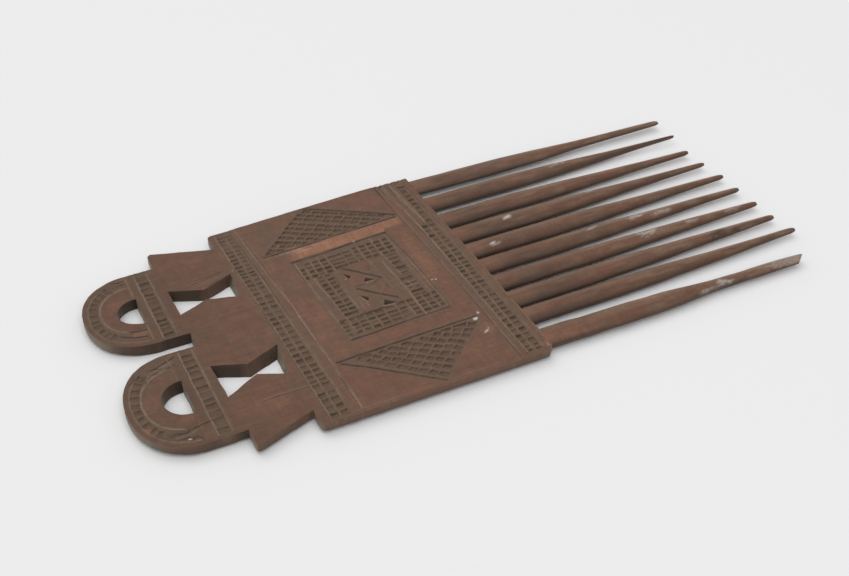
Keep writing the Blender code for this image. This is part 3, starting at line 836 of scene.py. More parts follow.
    def rubbed_highlights(self) -> tuple[RubbedHighlight, ...]:
        """Return the thin bright lines along the carving's lips: painted highlights with wear.

        Returns:
            The lines.
        """
        lines = (
            (((-69.2, 49.5), (-68.9, 35.0), (-68.3, 20.0), (-67.5, 0.0), (-67.0, -53.0)), 0.7),
            (((-62.6, 26.0), (-62.0, 8.0), (-61.0, -20.0), (-60.6, -53.0)), 0.6),
            (((-61.5, 50.0), (-60.5, 35.0), (-59.6, 20.0), (-58.2, 0.0), (-56.9, -53.0)), 0.9),
            (((-66.0, 47.0), (-64.9, 20.0), (-64.4, -20.0), (-64.1, -50.0)), 0.4),
            (((-4.4, 34.0), (-3.6, 12.0), (-2.6, -20.0), (-2.0, -52.0)), 0.5),
            (((-3.0, 52.0), (-1.4, 36.0), (-0.5, 20.0), (0.1, -20.0), (0.5, -52.5)), 0.9),
            (((0.5, 52.0), (1.4, 40.0), (2.2, 25.0)), 1.0), (((0.1, 44.0), (0.7, 38.0), (1.3, 33.0)), 0.9),
            (((-2.3, 52.5), (-2.2, 46.0)), 0.7), (((2.7, 22.0), (3.0, -52.0)), 0.5),
            (((6.2, 30.0), (6.5, -52.0)), 0.4), (((8.4, 30.0), (8.9, 0.0), (9.0, -50.0)), 0.6),
            (((-49.2, 22.0), (-48.8, 3.0), (-47.9, -12.0), (-47.2, -22.0)), 0.8),
            (((-46.6, 18.4), (-46.1, 7.0), (-45.0, -5.0), (-44.5, -13.0), (-44.2, -20.0)), 0.85),
            (((-43.9, 22.0), (-43.9, 14.0)), 0.5), (((-40.9, 22.4), (-40.9, 14.0)), 0.6),
            (((-38.0, 22.6), (-38.1, 8.0), (-37.2, -11.0)), 0.45), (((-39.5, 4.3), (-39.0, -9.4)), 0.6),
            (((-25.9, 21.5), (-25.7, 14.5), (-24.9, 6.0), (-23.8, -4.8), (-23.2, -21.0)), 0.5),
            (((-22.7, 22.5), (-22.6, 15.5)), 0.5),
            (((-20.0, 24.3), (-19.6, 15.6), (-18.8, 6.5), (-18.5, 1.5)), 0.95),
            (((-21.5, 10.6), (-21.1, 5.0), (-20.4, -4.8), (-19.9, -21.6)), 0.9),
            (((-16.8, 23.0), (-16.7, 16.0)), 0.6), (((-17.1, -11.0), (-16.8, -21.0)), 0.55),
            (((-14.1, 23.0), (-14.0, 10.0), (-13.6, -9.0), (-14.0, -20.0)), 0.55),
            (((-12.7, 9.0), (-12.4, 4.0), (-11.9, -5.0), (-11.3, -20.0)), 0.75),
            (((-37.0, 6.2), (-35.9, 7.4)), 0.9), (((-31.2, 1.9), (-29.6, 2.2), (-28.2, 2.0)), 0.85),
            (((-31.0, 0.0), (-29.4, -0.5), (-28.5, 0.2)), 0.5), (((-25.6, -1.4), (-29.1, -4.8)), 0.4),
            (((-36.2, -4.0), (-35.0, -7.6), (-35.4, -9.6)), 0.5), (((-31.0, -12.0), (-27.0, -12.4)), 0.9),
            (((-19.9, -5.6), (-17.6, -5.2), (-15.4, -5.0)), 1.0),
            (((-19.0, -2.4), (-17.8, -3.8), (-17.4, -5.6)), 0.9), (((-19.6, -7.4), (-16.4, -6.6)), 0.6),
            (((-104.4, 39.0), (-104.3, 29.4)), 0.7), (((-104.3, 12.8), (-104.2, 5.4)), 0.7),
            (((-101.4, 40.0), (-101.2, 4.6)), 0.9), (((-96.9, 40.0), (-96.6, 5.0)), 0.6),
            (((-103.3, -6.0), (-103.2, -16.4)), 0.4), (((-99.5, -5.0), (-99.4, -45.0)), 0.85),
            (((-95.0, -5.0), (-95.0, -45.0)), 0.7), (tuple(self.far_ring_line.arc(24, (86.0, -62.0))), 1.0),
            (tuple(self.near_ring_line.arc(24, (86.0, -72.0))), 1.0),
            (tuple(self.far_loop.arc(24, (60.0, -84.0), 1.9)), 0.5),
            (tuple(self.near_loop.arc(24, (40.0, -84.0), 1.9)), 0.6), (((-10.0, -53.4), (-60.0, -53.6)), 0.3),
            (((-84.0, 26.2), (-77.2, 27.0), (-71.4, 28.3)), 0.5),
            (((-82.8, 25.1), (-76.7, 26.2), (-71.2, 27.9)), 0.5),
            (((-83.0, -37.1), (-77.0, -36.7), (-70.0, -37.0), (-63.0, -36.8)), 0.35),
            (((-104.0, -9.2), (-108.0, -9.9), (-112.0, -11.8)), 0.6), (((-103.0, -8.2), (-107.0, -9.3)), 0.7),
            (((-102.6, -39.6), (-106.8, -41.2), (-111.0, -41.2)), 0.6),
        )
        return tuple(RubbedHighlight(line, strength) for line, strength in lines)

    def cut_into(self, sheet: Sheet) -> None:
        """Cut the whole design into a sheet and wear it.

        Args:
            sheet: The sheet to cut.
        """
        draw = np.random.default_rng(self.seed)
        cuts: list[Groove | Notch | Chip | RubbedHighlight] = list(self.tracks())
        for ladder in self.ladders():
            cuts.extend(ladder.notches(draw))
        for loop, degrees in ((self.far_loop, self.far_ring), (self.near_loop, self.near_ring)):
            cuts.extend(self.ring(loop, degrees, draw))
            cuts.append(Groove(tuple(loop.arc(28, (74.0, -74.0), 1.5)), half_width=0.3, depth=0.16))
        for line in (self.far_ring_line, self.near_ring_line):
            cuts.append(Groove(tuple(line.arc(28, (88.0, -80.0))), half_width=0.4, depth=0.22))
        cuts.extend(self.grooves() + self.flourishes() + self.chips() + self.rubbed_highlights())
        for hatch in self.hatches():
            hatch.carve(sheet, draw)
        for cut in cuts:
            cut.carve(sheet)
        sheet.wear()
        deepest = sheet.depth.max()
        LOG.info("%d cuts and rubbed lines beside the hatching, the deepest %.2f mm", len(cuts), deepest)


@dataclass(frozen=True)
class Blot:
    """A patch of another tone: an ellipse with a ragged edge."""

    mark: Mark
    centre: Point
    half_x: float
    half_y: float
    strength: float = 1.0
    ragged: float = 0.35
    turn: float = 0.0

    def reach(self) -> float:
        """Return how far from its centre the patch can show."""
        return 1.6 * max(self.half_x, self.half_y)

    def shade(self, x: np.ndarray, y: np.ndarray) -> np.ndarray:
        """Return the patch's strength at each place.

        Args:
            x: Places along the board.
            y: Places across the board.

        Returns:
            Strengths from 0 to 1.
        """
        u, v = x - self.centre[0], y - self.centre[1]
        along = u * math.cos(self.turn) + v * math.sin(self.turn)
        across = v * math.cos(self.turn) - u * math.sin(self.turn)
        radius = np.hypot(along / self.half_x, across / self.half_y)
        edge = 1.0 + self.ragged * HAND.at(x * 3.0 + 40.0, y * 3.0 + 9.0, 2.0)
        return self.strength * unit((edge - radius) * 2.2)


def blots_from(table: dict[Mark, tuple[tuple[float, ...], ...]]) -> list[Blot]:
    """Read a table of patches.

    Args:
        table: Rows for each mask, in the order of a patch's fields.

    Returns:
        The patches.
    """
    return [Blot(mark, (x, y), *sizes) for mark, rows in table.items() for x, y, *sizes in rows]


# Each row of a patch: x, y, half length, half width, strength, raggedness and turn.
BOARD_BLOTS = {
    Mark.STRIP: (
        (-8.0, 6.0, 3.2, 19.0, 0.28, 0.5), (-50.5, -10.0, 2.6, 9.0, 0.14, 0.5),
        (-54.2, -14.0, 3.4, 9.0, 0.12, 0.5), (-5.4, -37.0, 3.4, 3.0, 0.3, 0.5),
        (-40.0, -26.5, 16.0, 2.2, 0.12, 0.5), (-13.0, -45.5, 8.0, 5.0, 0.1, 0.5),
        (8.6, -51.4, 1.6, 2.8, 0.3, 0.6), (-107.5, 9.4, 3.2, 1.6, 0.55), (-81.5, -39.0, 9.0, 4.0, 0.2),
        (-46.5, 31.3, 2.6, 1.4, 0.5), (-117.6, -34.8, 2.4, 1.2, 0.55, 0.35, -1.0),
        (-105.2, -34.6, 3.4, 1.8, 0.3), (-104.8, 38.6, 1.6, 2.2, 0.3), (-113.4, -24.0, 3.0, 4.6, 0.22),
        (-111.4, 26.6, 2.6, 3.6, 0.2),
    ),
    Mark.DULL: (
        (-55.0, 12.0, 3.2, 10.0, 0.5, 0.5), (-20.0, 46.0, 9.0, 4.0, 0.4, 0.5),
        (-50.0, 47.0, 6.0, 4.0, 0.35, 0.5), (-53.5, 41.0, 7.0, 8.0, 0.6, 0.5),
        (-48.2, 2.0, 2.2, 24.0, 0.9, 0.2), (-22.4, 0.0, 2.6, 16.0, 0.9, 0.3),
        (-38.0, -2.0, 2.0, 14.0, 0.8, 0.3), (-32.5, -8.0, 3.6, 5.0, 0.7, 0.4),
        (-100.0, 22.0, 7.0, 20.0, 0.75, 0.3), (-98.0, -25.0, 7.5, 22.0, 0.75, 0.3),
        (-113.0, 8.0, 8.0, 6.0, 0.6, 0.4), (-108.0, -42.5, 9.0, 5.0, 0.7, 0.4),
        (-92.0, -4.0, 4.0, 12.0, 0.5, 0.5), (-75.0, 46.0, 3.5, 12.0, 0.6, 0.5),
        (-58.0, -38.0, 2.5, 16.0, 0.5, 0.5), (-12.8, 8.0, 1.6, 15.0, 0.6, 0.4),
    ),
    Mark.CHALK: (
        (8.2, -52.6, 0.5, 0.6, 0.32, 0.6), (-47.2, 29.5, 4.6, 0.5, 0.2, 0.9),
        (-44.2, 28.2, 4.2, 0.4, 0.18, 0.9), (-37.0, 29.4, 4.6, 0.4, 0.14, 0.9), (-10.3, -6.3, 0.42, 0.42),
        (-9.2, -6.8, 0.5, 0.45), (-6.7, -31.0, 0.9, 0.75), (-4.6, -28.6, 0.6, 0.7, 0.8),
        (-6.4, -38.2, 1.3, 0.5, 0.6, 0.35, 0.7), (-5.2, -37.1, 0.6, 0.4, 0.6, 0.35, 0.9),
        (-69.8, 28.1, 0.4, 0.3, 0.4), (-25.6, 25.5, 0.5, 0.3, 0.5), (-107.4, -43.2, 0.7, 0.4, 0.6),
        (-117.8, 4.6, 3.0, 1.2, 0.12, 0.6),
    ),
    Mark.STAIN: (
        (-101.6, -28.0, 2.0, 13.0, 0.22, 0.3), (-106.5, 12.1, 3.0, 0.8, 0.25),
        (-87.5, -50.5, 5.0, 4.0, 0.2, 0.4), (-107.0, -40.5, 6.0, 4.0, 0.2, 0.5),
    ),
    Mark.SHADE: (
        (-108.8, 25.0, 5.5, 6.5, 0.7, 0.2), (-103.6, 27.6, 4.2, 5.0, 1.0, 0.2),
        (-107.6, -19.6, 6.0, 6.5, 0.7, 0.2), (-102.0, -17.0, 4.2, 5.0, 1.0, 0.2),
        (-87.5, 25.0, 9.0, 5.0, 0.8, 0.15), (-74.5, 25.5, 8.0, 5.0, 0.3, 0.15),
        (-86.5, -17.0, 9.0, 5.0, 0.82, 0.15), (-73.5, -16.0, 8.0, 5.0, 0.55, 0.15),
        (-97.0, 2.6, 9.0, 3.0, 0.9, 0.2), (-110.0, 5.0, 12.0, 6.0, 0.6, 0.2),
        (-90.0, -47.2, 6.0, 4.0, 0.8, 0.2), (-108.0, -44.0, 16.0, 8.0, 0.45, 0.3),
        (-80.0, -52.0, 9.0, 5.0, 0.3, 0.3),
    ),
}
TOOTH_BLOTS = {
    Mark.CHALK: (
        (30.0, 14.9, 1.6, 1.0, 1.0, 0.6), (18.7, 2.8, 1.3, 0.8, 0.9, 0.6), (20.4, -17.2, 0.4, 0.4, 0.8),
        (65.0, 38.0, 3.2, 1.2, 0.35, 0.9), (66.5, 27.6, 3.0, 1.0, 0.3, 0.9), (66.2, 16.8, 3.0, 1.0, 0.34, 0.8),
        (54.8, -4.4, 2.4, 1.0, 0.38, 0.7), (71.9, -5.2, 3.6, 1.4, 0.46, 0.7), (84.4, -6.2, 4.2, 1.1, 0.24, 0.8),
        (70.9, -15.2, 3.8, 1.7, 0.44, 0.7), (89.5, -15.4, 3.4, 1.3, 0.3, 0.8),
        (107.0, -15.8, 5.0, 1.0, 0.22, 0.8), (76.0, -46.5, 1.8, 0.9, 0.35, 0.9),
        (78.8, -50.2, 3.2, 1.5, 0.42, 0.8), (71.4, -51.4, 3.2, 1.2, 0.34, 0.8),
        (103.0, -50.6, 6.0, 0.9, 0.12, 0.8), (108.0, -49.6, 11.0, 4.0, 0.26, 0.6),
    ),
    Mark.STRIP: (
        (88.0, -47.8, 7.0, 1.4, 0.4, 0.6), (60.0, -46.4, 12.0, 1.4, 0.22, 0.6),
        (40.0, -34.2, 14.0, 1.2, 0.16, 0.6), (78.0, -24.6, 9.0, 1.3, 0.26, 0.6),
        (76.0, -15.2, 10.0, 1.2, 0.18, 0.6), (46.0, 35.2, 7.0, 1.2, 0.22, 0.6),
        (60.0, 24.4, 8.0, 1.2, 0.16, 0.6),
    ),
    Mark.STAIN: (
        (94.5, -26.2, 4.2, 1.8, 1.0, 0.5), (101.5, -26.6, 3.4, 1.0, 1.0, 0.5),
        (85.0, -51.2, 3.6, 1.0, 0.5, 0.7), (72.0, -36.4, 1.6, 0.4, 0.6, 0.5), (64.0, -49.6, 2.0, 0.8, 0.5, 0.8),
    ),
}


@dataclass
class Board:
    """The carved board: its panel and the openwork handle end."""

    far_loop: DShape = DShape(base_x=-103.4, mid_y=22.1, half=19.1, reach=19.1)
    near_loop: DShape = DShape(base_x=-102.4, mid_y=-25.3, half=21.5, reach=19.2)
    far_hole: DShape = DShape(base_x=-103.8, mid_y=21.0, half=6.8, reach=7.9, power=2.0)
    near_hole: DShape = DShape(base_x=-102.3, mid_y=-25.2, half=7.8, reach=8.1, power=2.1)
    far_hourglass: tuple[Point, ...] = (
        (-93.2, 26.9), (-81.8, 22.4), (-70.6, 27.1), (-72.1, 14.0), (-82.7, 17.2), (-92.8, 13.1),
    )
    near_hourglass: tuple[Point, ...] = (
        (-92.0, -14.9), (-81.1, -19.1), (-69.4, -14.3), (-71.4, -28.9), (-80.3, -24.8), (-91.5, -30.9),
    )
    panel_left: float = -71.1
    panel_near: float = -55.0
    wing_left: float = -94.0
    middle_left: float = -92.8
    near_wing_left: float = -90.7
    seams: Triple = (-71.0, -57.4, -5.9)
    far_lean: Triple = (0.3, 0.8, 1.6)
    near_lean: Triple = (1.2, 1.9, 2.7)
    corner_lean: float = 1.5
    hole_lean: float = 1.1
    lean_slack: float = 0.8
    block_foot: float = -1.0
    face_until: float = 0.25
    face_fade: float = 0.2
    wall_from: float = 0.08
    wall_fade: float = 0.16
    rim_depth: float = 0.1
    rim_rub_and_highlight: float = 0.5
    edge_round: float = 0.32
    outline_pitch: float = 0.7
    outline_wander: float = 0.12
    limits: Triple = (-122.46, -54.96, 53.86)
    flat_half_width: float = 30.0
    side_rise: float = 0.054
    flat_end_x: float = -104.0
    end_rise: float = 0.07
    sheet: Sheet = field(default_factory=Sheet)

    def outline(self) -> list[Point]:
        """Return the board's outline, from the panel's far corner round the handle.

        Returns:
            Its corners.
        """
        far, near = self.far_loop, self.near_loop
        points = [(-70.4, 50.8), (self.panel_left - 0.4, 50.2), (self.panel_left - 0.4, 42.6)]
        points += [(self.wing_left + 1.1, 49.5), (self.wing_left + 0.1, 48.7)]
        points += [(self.wing_left, far.mid_y + far.half)]
        points += far.arc(40)
        points += [(self.middle_left, far.mid_y - far.half), (self.middle_left, near.mid_y + near.half)]
        points += near.arc(40)
        tip_x, near_y = self.near_wing_left, self.panel_near
        points += [(tip_x, near.mid_y - near.half), (tip_x, near_y + 1.9), (tip_x + 0.5, near_y + 1.1)]
        points += [(tip_x + 1.6, near_y + 1.2), (self.panel_left + 0.6, near_y + 7.6)]
        points += [(self.panel_left + 0.8, near_y + 2.0), (self.panel_left + 1.3, near_y + 0.8)]
        points += [(self.panel_left + 2.6, near_y + 0.2)]
        points += [(7.4, self.panel_near), (9.5, -52.8), (8.9, 0.0), (8.1, 53.9), (-10.0, 53.9)]
        return points

    def hand_cut(self, points: Sequence[Point]) -> list[Point]:
        """Divide a closed outline finely and let it wander as a knife does.

        Args:
            points: The outline's corners.

        Returns:
            The points of the finer outline.
        """
        fine = []
        for start, end in zip(points, list(points[1:]) + [points[0]]):
            length = math.dist(start, end)
            steps = max(1, round(length / self.outline_pitch))
            for step in range(steps):
                share = step / steps
                fine.append((start[0] + (end[0] - start[0]) * share, start[1] + (end[1] - start[1]) * share))
        x, y = np.array(fine).T
        drift_x = WARP.at(x + 31.0, y, 4.0) + 0.4 * WARP.at(x, y + 77.0, 1.3)
        drift_y = WARP.at(x, y + 53.0, 4.0) + 0.4 * WARP.at(x + 91.0, y, 1.3)
        x = np.maximum(x + self.outline_wander * drift_x, self.limits[0])
        y = np.clip(y + self.outline_wander * drift_y, self.limits[1], self.limits[2])
        return list(zip(x.tolist(), y.tolist()))

    def blank(self) -> bpy.types.Mesh:
        """Return the uncarved board with rounded edges and its openings.

        Returns:
            The blank as a closed mesh.
        """
        curve = bpy.data.curves.new("blank", "CURVE")
        curve.dimensions = "2D"
        curve.fill_mode = "BOTH"
        curve.extrude = THICKNESS / 2 - self.edge_round
        curve.bevel_depth = self.edge_round
        curve.bevel_resolution = 2
        curve.offset = -self.edge_round
        holes = [self.far_hole.arc(28), self.near_hole.arc(28), self.far_hourglass, self.near_hourglass]
        for outline in [self.outline()] + holes:
            points = self.hand_cut(outline)
            spline = curve.splines.new("POLY")
            spline.points.add(len(points) - 1)
            spline.use_cyclic_u = True
            for point, (x, y) in zip(spline.points, points):
                point.co = (x, y, 0.0, 1.0)
        return self.planed(evaluated_mesh("blank", curve))

    def planed(self, mesh: bpy.types.Mesh) -> bpy.types.Mesh:
        """Weld a blank, stand it on the floor and thin it from behind toward its edges.

        Args:
            mesh: The blank, centred on the middle of its thickness.

        Returns:
            The same mesh, changed.
        """
        creases = (
            ((0.0, self.flat_half_width, 0.0), (0.0, 1.0, 0.0)),
            ((0.0, -self.flat_half_width, 0.0), (0.0, 1.0, 0.0)),
            ((self.flat_end_x, 0.0, 0.0), (1.0, 0.0, 0.0)),
        )
        with opened(mesh) as form:
            bmesh.ops.remove_doubles(form, verts=form.verts, dist=BLANK_WELD)
            bmesh.ops.translate(form, verts=form.verts, vec=(0.0, 0.0, THICKNESS / 2))
            for place, normal in creases:
                geometry = form.verts[:] + form.edges[:] + form.faces[:]
                bmesh.ops.bisect_plane(form, geom=geometry, dist=BLANK_WELD, plane_co=place, plane_no=normal)
            for vertex in form.verts:
                side = max(0.0, abs(vertex.co.y) - self.flat_half_width) * self.side_rise
                end = max(0.0, self.flat_end_x - vertex.co.x) * self.end_rise
                lean_x, lean_y = self.wall_lean(vertex.co.x, vertex.co.y)
                vertex.co.x -= lean_x * (1.0 - vertex.co.z / THICKNESS)
                vertex.co.y -= lean_y * (1.0 - vertex.co.z / THICKNESS)
                vertex.co.z += (side + end) * (1.0 - vertex.co.z / THICKNESS)
            bmesh.ops.recalc_face_normals(form, faces=form.faces)
        return mesh

    def wall_lean(self, x: float, y: float) -> tuple[float, float]:
        """Return how far an opening's edge stands in at the back, where the knife left more wood.

        Args:
            x: Place along the board.
            y: Place across the board.

        Returns:
            The distances along and across the board, 0 away from the openings and at their near edges.
        """
        slack = self.lean_slack
        for corners, leans in ((self.far_hourglass, self.far_lean), (self.near_hourglass, self.near_lean)):
            (left, _), (waist, _), (right, _) = corners[:3]
            far_y = float(np.interp(x, *zip(*corners[:3])))
            near_y = float(np.interp(x, *zip(*corners[:2:-1])))
            if left - slack < x < right + slack and near_y - slack < y < far_y + slack:
                share = min(1.0, max(0.0, (y - near_y) / (far_y - near_y)))
                toward_panel = float(np.interp(x, (waist, right), (0.0, 1.0)))
                lean_y = float(np.interp(x, (left, waist, right), leans))
                return share * toward_panel * self.corner_lean, share * lean_y
        hole = self.near_hole
        along = hole.base_x - hole.reach - slack < x < hole.base_x + slack
        if along and abs(y - hole.mid_y) < hole.half + slack:
            share = min(1.0, max(0.0, 0.5 + 0.5 * (y - hole.mid_y) / hole.half))
            return 0.0, share * self.hole_lean
        return 0.0, 0.0

    def block(self, columns: np.ndarray, rows: np.ndarray, name: str) -> bpy.types.Mesh:
        """Return a block whose top is the carved face and whose sides are plain.

        Args:
            columns: The grid's places along the board.
            rows: The grid's places across it.
            name: Name for the mesh.

        Returns:
            The block as a closed mesh.
        """
        mesh = bpy.data.meshes.new(name)
        with opened(mesh) as form:
            bmesh.ops.create_grid(form, x_segments=len(columns) - 1, y_segments=len(rows) - 1, size=0.5)
        places = read_points(mesh)
        x = columns[np.rint((places[:, 0] + 0.5) * (len(columns) - 1)).astype(int)]
        y = rows[np.rint((places[:, 1] + 0.5) * (len(rows) - 1)).astype(int)]
        write_points(mesh, np.column_stack((x, y, self.sheet.top(x, y))))
        with opened(mesh) as form:
            rim = [edge for edge in form.edges if edge.is_boundary]
            skirt = bmesh.ops.extrude_edge_only(form, edges=rim)["geom"]
            for vertex in (item for item in skirt if isinstance(item, bmesh.types.BMVert)):
                vertex.co.z = self.block_foot
            bmesh.ops.edgeloop_fill(form, edges=[edge for edge in form.edges if edge.is_boundary])
            bmesh.ops.recalc_face_normals(form, faces=form.faces)
        return mesh

    def carved(
        self, name: str, columns: np.ndarray, rows: np.ndarray, blank: bpy.types.Mesh
    ) -> bpy.types.Object:
        """Return the part of the board that one grid covers.

        Args:
            name: Name of the piece.
            columns: The grid's places along the board.
            rows: The grid's places across it.
            blank: The uncarved board.

        Returns:
            The finished piece.
        """
        block = placed(name + "_block", self.block(columns, rows, name + "_block"))
        cutter = placed(name + "_blank", blank)
        meeting = block.modifiers.new("outline", "BOOLEAN")
        meeting.operation = "INTERSECT"
        meeting.solver = "MANIFOLD"
        meeting.object = cutter
        mesh = bpy.data.meshes.new_from_object(block.evaluated_get(bpy.context.evaluated_depsgraph_get()))
        for helper in (block, cutter):
            bpy.data.objects.remove(helper)
        with opened(mesh) as form:
            bmesh.ops.remove_doubles(form, verts=form.verts, dist=CARVED_WELD)
            bmesh.ops.dissolve_degenerate(form, edges=form.edges, dist=CARVED_WELD)
        return finished_piece(name, mesh, self.tones(mesh))

    def tones(self, mesh: bpy.types.Mesh) -> dict[str, np.ndarray]:
        """Work out the board's masks for the points of a mesh.

        Args:
            mesh: A mesh in drawing millimetres.

        Returns:
            Three colours for each point: relief holds cut (grime with painted shade), rubbed (wear with
            painted highlights) and dull, marks holds strip, chalk and stain, and sides holds wall (painted
            shade with grime), end grain with painted light, and painted shade.
        """
        x, y, z = read_points(mesh).T
        facing_x, facing_y, _ = read_points(mesh, "normal").T
        below = self.sheet.top(x, y) - z
        on_top = unit((self.face_until - below) / self.face_fade)
        read = {mark: self.sheet.read(self.sheet.marks[mark], x, y) for mark in Mark}
        top_marks = {mark: amount * on_top for mark, amount in read.items()}
        # Painted shade with some grime: the sides take the darker flank tone.
        wall = unit((below - self.wall_from) / self.wall_fade)
        # Painted highlight with wear along the rounding of the top edge.
        rim = self.rim_rub_and_highlight * unit(1.0 - np.abs(below - self.rim_depth) / self.rim_depth)
        # End grain with painted light: walls that face along the board are lightened.
        end_grain_and_side_light = wall * unit(np.abs(facing_x) * 1.6 - 0.7)
        shade = wall * read[Mark.SHADE] * unit(-facing_y * 1.6 + 0.1)
        ones = np.ones_like(x)
        rubbed_and_lit = np.maximum(top_marks[Mark.RUBBED_AND_LIT], rim)
        relief = np.column_stack((top_marks[Mark.CUT], rubbed_and_lit, top_marks[Mark.DULL], ones))
        marks = np.column_stack((top_marks[Mark.STRIP], top_marks[Mark.CHALK], top_marks[Mark.STAIN], ones))
        sides = np.column_stack((wall, end_grain_and_side_light, shade, ones))
        return {"relief": relief, "marks": marks, "sides": sides}

    def discolour(self) -> None:
        """Paint the patches that stand out on the board's front."""
        sheet = self.sheet
        place, x, y = sheet.window(((-58.0, 24.0), (-3.0, 33.5)), 0.5)
        triangle_side = 30.5 + (x + 57.6) * (32.7 - 30.3) / 51.6
        frame_side = 24.0 + (x + 49.9) * 2.1 / 36.6
        inside = unit((triangle_side - y) / 0.4) * unit((y - frame_side) / 0.5)
        ends = unit((x + 50.5) / 6.0) * unit((-4.6 - x) / 2.5)
        narrowed = np.where(x > -13.0, unit((y - 27.2) / 1.5), 1.0)
        patchy = 0.82 + 0.25 * HAND.at(x, y * 2.0, 6.0)
        sheet.paint(Mark.STRIP, place, unit(inside * ends * narrowed * patchy))
        x, y = sheet.x[None, :], sheet.y[:, None]
        handled = 0.2 * unit((-60.0 - x) / 12.0) + 0.15 * unit((-75.0 - x) / 25.0)
        handled = handled * (0.9 + 0.25 * WARP.at(x, y, 9.0)) + 0.06 * unit((-26.0 - y) / 14.0)
        sheet.marks[Mark.CUT] = np.maximum(sheet.marks[Mark.CUT], handled)
        for blot in blots_from(BOARD_BLOTS):
            place, x, y = sheet.window((blot.centre,), blot.reach())
            sheet.paint(blot.mark, place, blot.shade(x, y))

    def build(self) -> list[bpy.types.Object]:
        """Carve the board.

        Returns:
            The openwork handle end, the two bands and the field between them.
        """
        Carving(self.far_loop, self.near_loop).cut_into(self.sheet)
        self.discolour()
        blank = self.blank()
        first, second, third = self.seams
        whole_width = ((-56.6, 55.0, 0.25),)
        plan = (
            ("handle", ((-123.6, -93.6, 0.24), (-93.6, first, 0.36)), ((-56.6, 51.6, 0.25),)),
            ("handle_side_band", ((first, second, 0.24),), whole_width),
            (
                "field",
                (
                    (second, -50.4, 0.5), (-50.4, -38.0, 0.27), (-38.0, -24.5, 0.18), (-24.5, -11.0, 0.27),
                    (-11.0, third, 0.5),
                ),
                ((-56.6, -12.6, 0.26), (-12.6, 11.0, 0.19), (11.0, 55.0, 0.26)),
            ),
            ("tooth_side_band", ((third, 10.4, 0.24),), whole_width),
        )
        return [self.carved(name, spaced(*columns), spaced(*rows), blank) for name, columns, rows in plan]


@dataclass(frozen=True)
class Tooth:
    """One tooth by the middle of its root and of its tip, and what sets it apart."""

    root_y: float
    tip_y: float
    tip_x: float
    half_width: float
    tip_share: float = 1.0
    slimming: float = 1.0
    lift: float = 0.12
    square: float = 1.95
    bulge: float = 0.0
    bulge_at: float = 0.8
    rough: float = 1.0


